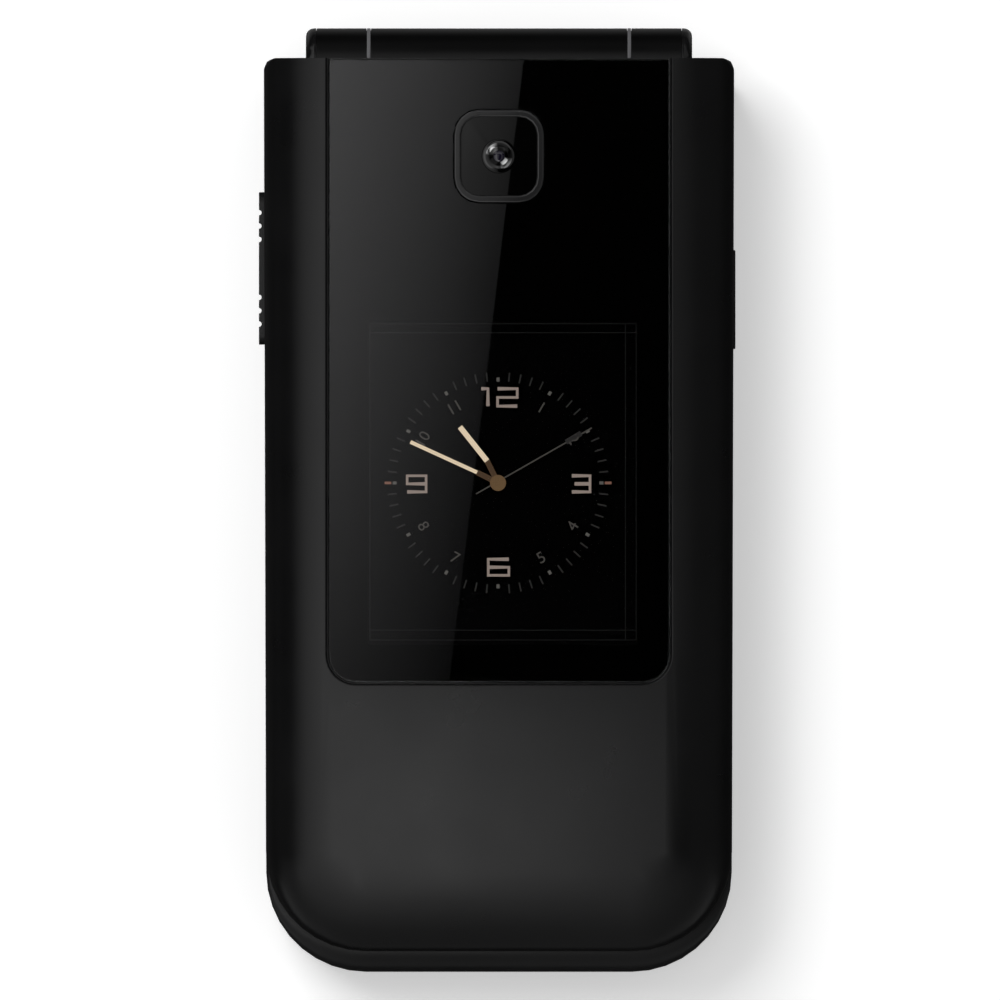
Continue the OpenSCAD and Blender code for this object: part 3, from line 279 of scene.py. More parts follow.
# Front shell: satin black moulding with the keypad's recess and openings. Its free end stands out
# past the lid as a rounded lip, and the two knuckles that carry the hinge are polished.
face_plastic = finish("face_plastic", (0.009, 0.009, 0.0094), 0.34, 0.11 * mm, 0.004 * mm)
hinge_gloss = finish("hinge_gloss", (0.0008, 0.0008, 0.0009), 0.3, 0.09 * mm, 0.0016 * mm)
hinge_start = 44.2 * mm


def repaint(piece, number, test):
    """Gives the faces that pass the test the piece's material of this number."""
    for face in piece.data.polygons:
        if test(face):
            face.material_index = number


keypad_face = dressed("base_front_shell", "keypad_face", face_plastic, "base",
                      0.08 * mm)
paint(keypad_face, face_plastic, hinge_gloss)
repaint(keypad_face, 1, lambda face: face.center.y > hinge_start)


# Number keys: satin black caps, crowned, each on a flange that keeps it behind the face. The
# numbers and letters are printed in white.
def choose(piece, kind, test):
    """Opens the piece in edit mode with only those faces or edges selected that pass the test."""
    if piece.mode == "EDIT":
        bpy.ops.object.mode_set(mode="OBJECT")
    pick(piece)
    bpy.ops.object.mode_set(mode="EDIT")
    bpy.ops.mesh.select_mode(type=kind)
    bpy.ops.mesh.select_all(action="DESELECT")
    bpy.ops.object.mode_set(mode="OBJECT")
    for part in piece.data.polygons if kind == "FACE" else piece.data.edges:
        part.select = test(part)
    bpy.ops.object.mode_set(mode="EDIT")


def round_edges(piece, radius, segments, test):
    """Rounds the edges whose two ends pass the test."""
    spots = piece.data.vertices
    choose(piece, "EDGE", lambda edge: test(*(spots[i].co for i in edge.vertices)))
    bpy.ops.mesh.bevel(offset=radius, segments=segments, affect="EDGES")
    bpy.ops.object.mode_set(mode="OBJECT")


def upright(a, b):
    """Whether an edge between these ends stands upright."""
    return abs((a - b).normalized().z) > 0.99


def round_corners(piece, radius, limit_y=1):
    """Rounds the piece's upright edges that lie below limit_y."""
    round_edges(piece, radius, 6, lambda a, b: a.y < limit_y and upright(a, b))


def raised_cap(name, low, high, corner, flange_w, flange_t):
    """Key cap in the box of its CAD node: a flange, upright sides, a rounded edge and a crown."""
    cap = block(name, low, (high[0], high[1], low[2] + flange_t))
    round_corners(cap, corner + flange_w)
    choose(cap, "FACE", lambda face: face.normal.z > 0.9)
    rise = high[2] - low[2] - flange_t
    # the flange's ledge, the sides, then the rounded edge and the crown
    for inset, depth in ((flange_w, 0), (0, rise - 0.2 * mm), (0.04 * mm, 0.1 * mm),
                         (0.1 * mm, 0.07 * mm), (0.18 * mm, 0.03 * mm), (0.8 * mm, 0.03 * mm),
                         (0.6 * mm, 0.012 * mm)):
        if inset:
            bpy.ops.mesh.inset(thickness=inset, depth=depth, use_even_offset=True)
        else:
            bpy.ops.mesh.extrude_region_move(TRANSFORM_OT_translate={"value": (0, 0, depth)})
    bpy.ops.object.mode_set(mode="OBJECT")
    smooth(cap, 35)
    return cap


def moved_copy(piece, name, x, y):
    """Copy of a piece with its own mesh, moved by x and y."""
    twin = piece.copy()
    twin.data = piece.data.copy()
    twin.name = twin.data.name = name
    bpy.context.scene.collection.objects.link(twin)
    twin.data.transform(Matrix.Translation((x, y, 0)))
    return twin


def word(name, text, height, x, y, low_z, thick, turn=0.0, widen=1.0):
    """Flat printed characters, as tall as height, centred at x and y and turned by turn."""
    size_to_height = 1.4
    bpy.ops.object.text_add(rotation=(0, 0, turn))
    piece = bpy.context.object
    piece.name = name
    piece.data.body = text
    piece.data.align_x, piece.data.align_y = "CENTER", "CENTER"
    piece.data.size = height * size_to_height
    piece.data.extrude = thick / 2
    piece.data.resolution_u = 3
    piece.scale.x = widen
    piece.location = (x, y, low_z + thick / 2)
    bpy.ops.object.convert(target="MESH")
    bpy.ops.object.transform_apply(location=True, rotation=True, scale=True)
    return bpy.context.object


key_plastic = finish("key_plastic", (0.014, 0.014, 0.015), 0.3, 0.08 * mm, 0.003 * mm)
white_print = finish("white_print", (0.62, 0.63, 0.62), 0.45, 0.06 * mm, 0.001 * mm, mottle=0.05)
cap_corner, flange_w, flange_t = 1.8 * mm, 0.5 * mm, 0.55 * mm
number_keys = {"key_1": ("1", ""), "key_2": ("2", "ABC"), "key_3": ("3", "DEF"),
               "key_4": ("4", "GHI"), "key_5": ("5", "JKL"), "key_6": ("6", "MNO"),
               "key_7": ("7", "PQRS"), "key_8": ("8", "TUV"), "key_9": ("9", "WXYZ"),
               "key_star": ("*", ""), "key_0": ("0", "+"), "key_hash": ("#", "")}
first_low, first_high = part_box("key_1")
number_cap = raised_cap("number_cap", first_low, first_high, cap_corner, flange_w, flange_t)
paint(number_cap, key_plastic)
print_z, print_t = first_high[2] + 0.01 * mm, 0.06 * mm
digit_h, digit_out, star_drop = 4.2 * mm, 2.6 * mm, 0.9 * mm
letters_h, letters_out = 1.7 * mm, 2.9 * mm
for key, (digit, letters) in number_keys.items():
    low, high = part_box(key)
    x, y = (low[0] + high[0]) / 2, (low[1] + high[1]) / 2
    cap = moved_copy(number_cap, key + "_cap", low[0] - first_low[0], low[1] - first_low[1])
    settle(cap, key, [key])
    drop = star_drop if digit == "*" else 0
    marks = [word("digit", digit, digit_h, x - (digit_out if letters else 0), y - drop, print_z,
                  print_t, widen=1.15)]
    if letters:
        marks.append(word("letters", letters, letters_h, x + letters_out, y, print_z, print_t))
    marks = joined(key + "_print", marks)
    paint(marks, white_print)
    settle(marks, key)
bpy.data.objects.remove(number_cap)


# Soft, call and end keys: caps of the same form at their own sizes. The soft keys have a white
# bar, and the call and end keys a green and a red handset.
def wire(name, paths, thickness, resolution):
    """Wires of one thickness through lists of x, y, z points."""
    line = bpy.data.curves.new(name, "CURVE")
    line.dimensions = "3D"
    line.bevel_depth = thickness / 2
    line.bevel_resolution = resolution
    line.use_fill_caps = True
    for path in paths:
        spline = line.splines.new("POLY")
        spline.points.add(len(path) - 1)
        for spot, place in zip(spline.points, path):
            spot.co = (*place, 1)
    piece = bpy.data.objects.new(name, line)
    bpy.context.scene.collection.objects.link(piece)
    pick(piece)
    bpy.ops.object.convert(target="MESH")
    return bpy.context.object


def strokes(name, lines, width, z, flat=0.12):
    """Flat lines of one width through lists of x, y points, at height z."""
    piece = wire(name, [[(x, y, 0) for x, y in points] for points in lines], width, 1)
    piece.data.transform(Matrix.Translation((0, 0, z)) @ Matrix.Diagonal((1, 1, flat, 1)))
    return piece


def swung(points, angle, x, y):
    """The points turned by angle, then moved by x and y."""
    return [(x + px * math.cos(angle) - py * math.sin(angle),
             y + px * math.sin(angle) + py * math.cos(angle)) for px, py in points]


green_print = finish("green_print", (0.03, 0.42, 0.07), 0.45, 0.06 * mm, 0.001 * mm, mottle=0.05)
red_print = finish("red_print", (0.55, 0.02, 0.015), 0.45, 0.06 * mm, 0.001 * mm, mottle=0.05)
bar_half, bar_w = 1.5 * mm, 0.5 * mm
bow_r, bow_drop, bow_w, ear_w = 2.1 * mm, 1.3 * mm, 0.75 * mm, 1.1 * mm
for key in ("left_soft_key", "right_soft_key", "call_key", "end_key"):
    low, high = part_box(key)
    x, y = (low[0] + high[0]) / 2, (low[1] + high[1]) / 2
    cap = raised_cap(key + "_cap", low, high, cap_corner, flange_w, flange_t)
    paint(cap, key_plastic)
    settle(cap, key, [key])
    mark_z = high[2] + 0.04 * mm
    if "soft" in key:
        mark = strokes(key + "_print", [[(x - bar_half, y), (x + bar_half, y)]], bar_w, mark_z)
        paint(mark, white_print)
    else:
        # handset: a bow between two ear pieces, turned over for the end key
        way = 1 if key == "end_key" else -1
        lean = 0 if key == "end_key" else math.radians(-35)
        bow = [(bow_r * math.cos(a), way * (bow_r * math.sin(a) - bow_drop))
               for a in (math.radians(30 + 15 * i) for i in range(9))]
        ears = [[(side * 1.9 * mm, way * 0.1 * mm), (side * 1.75 * mm, way * -0.75 * mm)]
                for side in (-1, 1)]
        parts = [strokes("bow", [swung(bow, lean, x, y)], bow_w, mark_z),
                 strokes("ears", [swung(ear, lean, x, y) for ear in ears], ear_w, mark_z)]
        mark = joined(key + "_print", parts)
        paint(mark, red_print if key == "end_key" else green_print)
    settle(mark, key)


# Navigation ring and OK key: a satin plated ring, turned with a shallow dish, that rocks over four
# domes, and a black button in its middle.
def turned(name, profile, x, y, steps=72, bore=0.0):
    """Round piece raised from a disc, by an extrude or an inset for each (radius, height)."""
    (foot_r, foot_z), (first_r, first_z) = profile[:2]
    bpy.ops.mesh.primitive_cylinder_add(vertices=steps, radius=foot_r, depth=first_z - foot_z,
                                        location=(x, y, (foot_z + first_z) / 2))
    piece = bpy.context.object
    piece.name = piece.data.name = name
    bpy.ops.object.transform_apply(location=True)
    choose(piece, "FACE", lambda face: face.normal.z > 0.9)
    radius, height = first_r, first_z
    for r, z in profile[2:]:
        if r == radius:
            bpy.ops.mesh.extrude_region_move(TRANSFORM_OT_translate={"value": (0, 0, z - height)})
        else:
            bpy.ops.mesh.inset(thickness=radius - r, depth=z - height)
        radius, height = r, z
    if bore:
        bpy.ops.object.mode_set(mode="OBJECT")
        choose(piece, "FACE", lambda face: face.normal.z < -0.9 and len(face.vertices) > 4)
        bpy.ops.mesh.inset(thickness=foot_r - bore)
        choose(piece, "FACE", lambda face: len(face.vertices) == steps)
        bpy.ops.mesh.bridge_edge_loops()
    bpy.ops.object.mode_set(mode="OBJECT")
    smooth(piece, 35)
    return piece


ring_low, ring_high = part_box("nav_ring")
ring_x, ring_y = (ring_low[0] + ring_high[0]) / 2, (ring_low[1] + ring_high[1]) / 2
ring_r = (ring_high[0] - ring_low[0]) / 2 - flange_w
ring_bore, plate_t, ring_foot, ring_top = 5.6 * mm, 0.3 * mm, ring_low[2], ring_high[2]
ring_metal = finish("nav_metal", (0.42, 0.42, 0.44), 0.3, 0.35 * mm, 0.004 * mm, mottle=0.04,
                    metallic=1.0)
ring = turned("nav_ring_plate", [
    (ring_r + flange_w, ring_foot), (ring_r + flange_w, ring_foot + plate_t),
    (ring_r, ring_foot + plate_t), (ring_r, ring_top - 0.25 * mm),
    (ring_r - 0.1 * mm, ring_top - 0.08 * mm), (ring_r - 0.35 * mm, ring_top),
    (ring_r - 1.6 * mm, ring_top - 0.06 * mm), (ring_bore + 3 * mm, ring_top - 0.16 * mm),
    (ring_bore + 1.2 * mm, ring_top - 0.1 * mm), (ring_bore + 0.35 * mm, ring_top),
    (ring_bore + 0.1 * mm, ring_top - 0.08 * mm), (ring_bore, ring_top - 0.25 * mm)],
    ring_x, ring_y, bore=ring_bore)
paint(ring, ring_metal)
settle(ring, "nav_ring", ["nav_ring"])
arrow_out, arrow_half, arrow_w = ring_r - 1.7 * mm, 0.6 * mm, 0.28 * mm
tip, tail = arrow_out + 0.35 * mm, arrow_out - 0.25 * mm
arrows = [swung([(tail, -arrow_half), (tip, 0), (tail, arrow_half)], quarter * math.pi / 2,
                ring_x, ring_y) for quarter in range(4)]
arrow_print = strokes("nav_arrows", arrows, arrow_w, ring_top - 0.02 * mm, 0.4)
paint(arrow_print, dark_plastic)
settle(arrow_print, "nav_ring")
ok_low, ok_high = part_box("ok_key")
ok_r = (ok_high[0] - ok_low[0]) / 2
ok = turned("ok_key_cap", [
    (ok_r, ok_low[2]), (ok_r, ok_high[2] - 0.3 * mm), (ok_r - 0.1 * mm, ok_high[2] - 0.1 * mm),
    (ok_r - 0.35 * mm, ok_high[2]), (ok_r - 1.2 * mm, ok_high[2] - 0.03 * mm),
    (ok_r - 2.6 * mm, ok_high[2] - 0.07 * mm)], ring_x, ring_y)
paint(ok, key_plastic)
settle(ok, "ok_key", ["ok_key"])
ok_print = word("ok_print", "OK", 1.9 * mm, ring_x, ring_y, ok_high[2] - 0.09 * mm, print_t)
paint(ok_print, white_print)
settle(ok_print, "ok_key")

# Side buttons: satin black. The volume rocker has three grooves at each end and presses one of two
# switches, and the button on the right side is plain.
side_plastic = finish("side_plastic", (0.006, 0.006, 0.0063), 0.36, 0.08 * mm, 0.003 * mm)
dressed("volume_rocker", "rocker_cap", side_plastic, "volume_rocker", 0.1 * mm)
dressed("side_button", "side_button_cap", side_plastic, "side_button",
        0.12 * mm, 3)

# Battery cover: soft-touch black plate with a turned-up rim, held by two tongues. It slides
# towards the free end, and the thumb pushes on a field of shallow grooves.
cover_plastic = finish("cover_plastic", (0.018, 0.018, 0.0185), 0.42, 0.10 * mm, 0.004 * mm)
cover = merged_copy("battery_cover", "cover_plate")
groove_r, groove_depth, groove_pitch = 0.7 * mm, 0.22 * mm, 1.6 * mm
groove_count, groove_l, groove_step = 6, 15 * mm, 1.6 * mm
groove_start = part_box("battery_cover")[1][1] - 8 * mm
for i in range(groove_count):
    bpy.ops.mesh.primitive_cylinder_add(
        vertices=24, radius=groove_r, depth=groove_l - i * groove_step,
        rotation=(0, math.pi / 2, 0),
        location=(0, groove_start - i * groove_pitch, groove_depth - groove_r))
    cutter = bpy.context.object
    groove = cover.modifiers.new("groove", "BOOLEAN")
    groove.object = cutter
    groove.solver = "EXACT"
    apply_all(cover)
    bpy.data.objects.remove(cutter)
broken_edges(cover, 0.06 * mm)
smooth(cover)
paint(cover, cover_plastic)
settle(cover, "battery_cover", ["battery_cover"])

# Hinge: end caps of gloss black plastic on the base's knuckles, nylon washers and dark collars in
# the seams, and inside the barrel a steel cam shaft, its housing, a coil spring and the bush that
# the flat cable runs through.
gloss_plastic = finish("gloss_plastic", (0.004, 0.004, 0.0042), 0.16, 0.3 * mm, 0.001 * mm)
dressed("knuckle_caps", "end_caps", gloss_plastic, "base", 0.05 * mm)
nylon = finish("nylon", (0.10, 0.10, 0.105), 0.45, 0.08 * mm, 0.003 * mm)
dressed("hinge_washers", "seam_washers", nylon, "lid", 0.04 * mm)
spring_low, spring_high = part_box("hinge_spring")
axis_y = (spring_low[1] + spring_high[1]) / 2
axis_z = (spring_low[2] + spring_high[2]) / 2
collar_r, collar_bore, collar_half = 3.85 * mm, 3.5 * mm, 0.45 * mm
for name, seam_x, body in (("washer_collar", 14.6 * mm, "lid"),
                           ("cap_collar", 20.5 * mm, "base")):
    rings = []
    for side in (-1, 1):
        collar = turned(name, [(collar_r, -collar_half), (collar_r, collar_half)], 0, 0,
                        bore=collar_bore)
        collar.data.transform(Matrix.Translation((side * seam_x, axis_y, axis_z))
                              @ Matrix.Rotation(math.pi / 2, 4, "Y"))
        rings.append(collar)
    collars = joined(name, rings)
    paint(collars, dark_plastic)
    settle(collars, body)
hinge_steel = finish("hinge_steel", (0.55, 0.55, 0.56), 0.3, 0.3 * mm, 0.003 * mm, metallic=1.0,
                     stretch=(0.15, 1, 1))
for node in ("hinge_cam_shaft", "hinge_bush", "hinge_housing"):
    paint(nodes[node], hinge_steel)
spring_turns, turn_steps, spring_wire = 7, 24, 0.7 * mm
spring_r = (spring_high[1] - spring_low[1] - spring_wire) / 2
spring_l = spring_high[0] - spring_low[0] - spring_wire
coil = []
for i in range(spring_turns * turn_steps + 1):
    share = i / (spring_turns * turn_steps)
    a = math.tau * spring_turns * share
    coil.append((spring_low[0] + spring_wire / 2 + spring_l * share,
                 axis_y + spring_r * math.cos(a), axis_z + spring_r * math.sin(a)))
spring = wire("spring_wire", [coil], spring_wire, 3)
smooth(spring)
paint(spring, hinge_steel)
settle(spring, "base", ["hinge_spring"])
flex_film = finish("flex_film", (0.42, 0.17, 0.04), 0.35, 0.25 * mm, 0.003 * mm, mottle=0.2,
                   stretch=(1, 0.2, 0.2))
for node in ("hinge_flex_base", "hinge_flex_lid"):
    paint(nodes[node], flex_film)

# Screws: cross-recessed steel screws, four up through the base and four down through the lid, the
# lid's hidden by pressed-in rubber pads that also hold the two halves apart.
screw_steel = finish("screw_steel", (0.32, 0.32, 0.33), 0.3, 0.08 * mm, 0.002 * mm, metallic=1.0)
dressed("base_screws", "rear_screws", screw_steel, "base", 0.06 * mm)
paint(nodes["lid_screws"], screw_steel)
rubber = finish("bumper_rubber", (0.018, 0.018, 0.019), 0.6, 0.06 * mm, 0.006 * mm)
dressed("lid_bumpers", "screw_pads", rubber, "lid", 0.15 * mm, 3)

# Lid frame: satin black moulding that faces the keypad. It holds the inner window, the sound slots
# of the earpiece and, at its end, the polished barrel that turns between the knuckles.
frame_plastic = finish("frame_plastic", (0.008, 0.008, 0.0084), 0.3, 0.10 * mm, 0.004 * mm)
lid_frame = dressed("lid_inner_shell", "lid_frame", frame_plastic, "lid", 0.06 * mm)
paint(lid_frame, frame_plastic, hinge_gloss)
repaint(lid_frame, 1, lambda face: face.center.y > hinge_start)
brushed = finish("grille_steel", (0.45, 0.45, 0.46), 0.28, 0.2 * mm, 0.003 * mm, metallic=1.0,
                 stretch=(0.1, 1, 1))
paint(nodes["earpiece_grille"], brushed)
paint(nodes["earpiece"], dark_plastic)
paint(nodes["lid_magnet"], tinned)


# Main display and its window: a lit panel with a row of status marks, a large clock and a bar for
# the soft keys, behind clear acrylic that is printed black round the view.
def glass(name, tint, roughness):
    """Clear moulded acrylic with a faint orange peel in its surface."""
    acrylic_ior = 1.49
    material = finish(name, tint, roughness, 2.5 * mm, 0.0002 * mm, mottle=0.01)
    shader = material.node_tree.nodes["Principled BSDF"]
    shader.inputs["Transmission Weight"].default_value = 1
    shader.inputs["IOR"].default_value = acrylic_ior
    return material


def lit(name, colour, strength=1.0):
    """Picture elements that glow evenly through a dark panel, with the grid between them."""
    pixel, second_share, gap_share = 0.2 * mm, 0.96, 0.75
    material = finish(name, (0.002, 0.002, 0.002), 0.35, 0.2 * mm, 0.0005 * mm, specular=0.1)
    tree = material.node_tree
    shader = tree.nodes["Principled BSDF"]
    place = tree.nodes["Texture Coordinate"]
    grid = added(tree, "ShaderNodeTexBrick", {
        "Scale": 1 / pixel, "Brick Width": 1, "Row Height": 1, "Mortar Size": 0.05,
        "Color1": (*colour, 1), "Color2": [c * second_share for c in colour] + [1],
        "Mortar": [c * gap_share for c in colour] + [1]})
    grid.offset = 0
    tree.links.new(place.outputs["Object"], grid.inputs["Vector"])
    tree.links.new(grid.outputs["Color"], shader.inputs["Emission Color"])
    shader.inputs["Emission Strength"].default_value = strength
    return material


def mask(name, window, upper, outline_r, view_low, view_high, view_r):
    """Printed film on a window's upper or lower face, of the window's outline, with the display's
    opening. On the outer window only the corners at the free end are round."""
    film_t, film_gap, film_in = 0.02 * mm, 0.01 * mm, 0.04 * mm
    low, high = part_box(window)
    film_z = high[2] + film_gap if upper else low[2] - film_gap - film_t
    sheet = block(name, (low[0] + film_in, low[1] + film_in, film_z),
                  (high[0] - film_in, high[1] - film_in, film_z + film_t))
    round_corners(sheet, outline_r, high[1] if upper else 0)
    hole = block("opening", (*view_low, film_z - 1 * mm), (*view_high, film_z + 1 * mm))
    round_corners(hole, view_r)
    opening = sheet.modifiers.new("opening", "BOOLEAN")
    opening.object = hole
    opening.solver = "EXACT"
    apply_all(sheet)
    bpy.data.objects.remove(hole)
    paint(sheet, print_black)
    settle(sheet, "lid")


print_black = finish("print_black", (0.0012, 0.0012, 0.0012), 0.6, 0.2 * mm, 0.001 * mm,
                     specular=0.0)
inner_glass = glass("inner_glass", (0.93, 0.93, 0.94), 0.03)
dressed("inner_window", "inner_pane", inner_glass, "lid", 0.08 * mm)
view_w, view_h, view_y = 38 * mm, 51 * mm, -6 * mm
mask("inner_mask", "inner_window", upper=True, outline_r=1.5 * mm,
     view_low=(-view_w / 2, view_y - view_h / 2), view_high=(view_w / 2, view_y + view_h / 2),
     view_r=0.4 * mm)
panel_black = finish("panel_black", (0.0007, 0.0007, 0.00075), 0.25, 0.2 * mm, 0.001 * mm,
                     specular=0.05)
paint(nodes["main_display"], panel_black)
screen_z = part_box("main_display")[0][2] - 0.03 * mm
sky = lit("screen_blue", (0.03, 0.10, 0.26))
screen_light = lit("screen_white", (0.75, 0.8, 0.85), 0.8)
screen_dark = lit("screen_navy", (0.006, 0.02, 0.06))
screen = block("screen_ground", (-view_w / 2, view_y - view_h / 2, screen_z),
               (view_w / 2, view_y + view_h / 2, screen_z + 0.02 * mm))
film_edge = 0.008 * mm
broken_edges(screen, film_edge, 1)
paint(screen, sky)
settle(screen, "lid")
# the display is read with the lid up, from below, so its characters run along -Y and +X
bar_h, bar_t = 4.2 * mm, 0.02 * mm
top_y, low_y = view_y - view_h / 2, view_y + view_h / 2
bars = [block("bar", (-view_w / 2, y, screen_z - bar_t), (view_w / 2, y + bar_h, screen_z))
        for y in (top_y, low_y - bar_h)]
bar = joined("screen_bars", bars)
broken_edges(bar, film_edge, 1)
paint(bar, screen_dark)
settle(bar, "lid")
marks = []
mark_z = screen_z - 2 * bar_t
signal_x, signal_y, signal_pitch, signal_w = -17.5 * mm, top_y + 3.4 * mm, 0.9 * mm, 0.55 * mm
for i in range(5):
    x = signal_x + i * signal_pitch
    marks.append(block("signal", (x, signal_y - (0.5 + 0.45 * i) * mm, mark_z),
                       (x + signal_w, signal_y, mark_z + bar_t)))
# the charge mark's frame and its three cells, then the soft keys' marks, in millimetres
for a, b, c, d in ((12.2, 1.1, 17.0, 1.35), (12.2, 3.15, 17.0, 3.4), (12.2, 1.1, 12.45, 3.4),
                   (16.75, 1.1, 17.0, 3.4), (17.0, 1.8, 17.4, 2.7), (12.8, 1.65, 14.0, 2.85),
                   (14.2, 1.65, 15.3, 2.85), (15.5, 1.65, 16.4, 2.85)):
    marks.append(block("charge", (a * mm, top_y + b * mm, mark_z),
                       (c * mm, top_y + d * mm, mark_z + bar_t)))
for a, b in ((-16.5, -11.5), (-2.2, 2.2), (11.5, 16.5)):
    marks.append(block("soft", (a * mm, low_y - 2.4 * mm, mark_z),
                       (b * mm, low_y - 1.8 * mm, mark_z + bar_t)))
time_h, time_y = 7.5 * mm, view_y - 7 * mm
digits = word("screen_time", "10:09", time_h, 0, 0, 0, bar_t)
digits.data.transform(Matrix.Translation((0, time_y, mark_z)) @ Matrix.Rotation(math.pi, 4, "X"))
picture = joined("screen_marks", marks + [digits])
paint(picture, screen_light)
settle(picture, "lid")

# Outer display: a lit clock face on a small panel. It has twelve dots with fine ticks between
# them, squared figures at the quarters, small figures in the other places, and three hands.
paint(nodes["outer_display"], panel_black)
dial_x, dial_y = -0.11 * mm, 1.93 * mm
dial_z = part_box("outer_display")[1][2] + 0.03 * mm
figure_glow = lit("figure_glow", (0.29, 0.235, 0.20))
hand_glow = lit("hand_glow", (0.86, 0.70, 0.48))
dim_glow = lit("dim_glow", (0.060, 0.056, 0.050))
tick_glow = lit("tick_glow", (0.022, 0.021, 0.020))
root_glow = lit("root_glow", (0.075, 0.045, 0.025))
dot_glow = lit("dot_glow", (0.10, 0.095, 0.085))
warm_glow = lit("warm_glow", (0.20, 0.10, 0.07))
hub_glow = lit("hub_glow", (0.14, 0.085, 0.04))
edge_highlight_glow = lit("edge_highlight_glow", (0.0055, 0.0055, 0.0055))


def on_dial(radius, minute):
    """Point at this radius in the direction of a minute."""
    a = math.radians(90 - 6 * minute)
    return dial_x + radius * math.cos(a), dial_y + radius * math.sin(a)


def lay(name, lines, width, material, z=dial_z):
    """Glowing lines on the dial."""
    piece = strokes(name, lines, width, z, 0.08)
    paint(piece, material)
    settle(piece, "lid")


# marks that run along the radius: their inner and outer ends, width and minutes
for name, inner, outer, width, material, minutes in (
        ("minute_ticks", 11.4, 12.4, 0.17, tick_glow, [i for i in range(60) if i % 5]),
        ("hour_dots", 11.35, 11.8, 0.34, dot_glow, range(0, 60, 5)),
        ("quarter_marks", 11.95, 12.7, 0.3, warm_glow, (15, 45))):
    lay(name, [[on_dial(inner * mm, i), on_dial(outer * mm, i)] for i in minutes], width * mm,
        material)
small_r, small_h, small_t = 9.7 * mm, 1.3 * mm, 0.02 * mm
small = []
for hour in (1, 2, 4, 5, 7, 8, 10, 11):
    x, y = on_dial(small_r, hour * 5)
    small.append(word("small", str(hour), small_h, x, y, dial_z, small_t,
                      turn=-math.radians(30 * hour) + (math.pi if 3 < hour < 9 else 0)))
small = joined("small_figures", small)
paint(small, dim_glow)
settle(small, "lid")

# squared figures as strokes in a cell of two by four, from its low left corner
shapes = {"1": [[(1, 0), (1, 4), (0.1, 4)]],
          "2": [[(0, 4), (2, 4), (2, 2), (0, 2), (0, 0), (2, 0)]],
          "3": [[(0, 4), (2, 4), (2, 0), (0, 0)], [(0.3, 2), (2, 2)]],
          "6": [[(2, 4), (0, 4), (0, 0), (2, 0), (2, 2), (0, 2)]],
          "9": [[(0, 0), (2, 0), (2, 4), (0, 4), (0, 2), (2, 2)]]}
figures = []
# each figure's centre, width and height, in millimetres
for figure, x, y, width, height in (("1", -1.13, 9.57, 1.65, 1.95), ("2", 1.05, 9.57, 2.2, 1.95),
                                    ("3", 9.28, -0.1, 2.03, 1.8), ("9", -9.11, -0.1, 2.12, 1.8),
                                    ("6", 0.06, -9.44, 2.3, 1.8)):
    for points in shapes[figure]:
        figures.append([(dial_x + (x + (px / 2 - 0.5) * width) * mm,
                         dial_y + (y + (py / 4 - 0.5) * height) * mm) for px, py in points])
lay("quarter_figures", figures, 0.4 * mm, figure_glow)


def dial_spot(across, up):
    """Point on the dial from its offsets in millimetres from the centre."""
    return dial_x + across * mm, dial_y + up * mm


lay("hour_hand", [[dial_spot(-1.23, 2.46), dial_spot(-4.26, 6.27)]], 0.6 * mm, hand_glow)
lay("minute_hand", [[dial_spot(-2.35, 1.18), dial_spot(-9.8, 4.59)]], 0.42 * mm, hand_glow)
lay("hand_roots", [[dial_spot(0, 0), dial_spot(-1.23, 2.46)],
                   [dial_spot(0, 0), dial_spot(-2.35, 1.18)]],
    0.62 * mm, root_glow, dial_z - 0.02 * mm)
lay("second_hand", [[dial_spot(-2.46, -1.23), dial_spot(10.5, 6.16)]], 0.16 * mm, dim_glow,
    dial_z + 0.01 * mm)
lay("second_weight", [[dial_spot(7.6, 4.55), dial_spot(9.3, 5.55)]], 0.6 * mm, tick_glow)
hub = turned("dial_hub", [(0.9 * mm, dial_z), (0.9 * mm, dial_z + 0.03 * mm),
                          (0.5 * mm, dial_z + 0.04 * mm), (0.2 * mm, dial_z + 0.05 * mm)],
             dial_x, dial_y, 32)
paint(hub, hub_glow)
settle(hub, "lid")
# painted highlights: faint glowing lines along the display panel's edges
panel_x = (-14.45 * mm, 14.15 * mm, 15.35 * mm)
panel_y = (19.75 * mm, 18.75 * mm, -14.55 * mm, -15.65 * mm)
lay("painted_panel_edges", [[(panel_x[0], y), (panel_x[-1], y)] for y in panel_y]
    + [[(x, panel_y[0]), (x, panel_y[-1])] for x in panel_x], 0.1 * mm, edge_highlight_glow,
    dial_z - 0.02 * mm)

# Outer window: clear acrylic, flush in the lid and open at the hinge end, its underside printed
# black round the display.
window_glass = glass("window_glass", (0.9, 0.9, 0.92), 0.01)
window_pane = merged_copy("outer_window", "window_pane")
pane_top, pane_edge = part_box("outer_window")[1][2] - 0.01 * mm, 0.24 * mm
camera_half, camera_low, camera_high = 7 * mm, 30 * mm, 48 * mm


def on_pane_edge(a, b):
    """Whether an edge between these ends runs round the outside of the pane's face."""
    return all(spot.z > pane_top and (abs(spot.x) > camera_half or spot.y < camera_low
                                      or spot.y > camera_high) for spot in (a, b))


round_edges(window_pane, pane_edge, 3, on_pane_edge)
broken_edges(window_pane, 0.03 * mm, 1)
smooth(window_pane)
paint(window_pane, window_glass)
settle(window_pane, "lid", ["outer_window"])
mask("window_mask", "outer_window", upper=False, outline_r=3.15 * mm,
     view_low=(-14.7 * mm, -16.2 * mm), view_high=(15.5 * mm, 20.0 * mm), view_r=0.3 * mm)
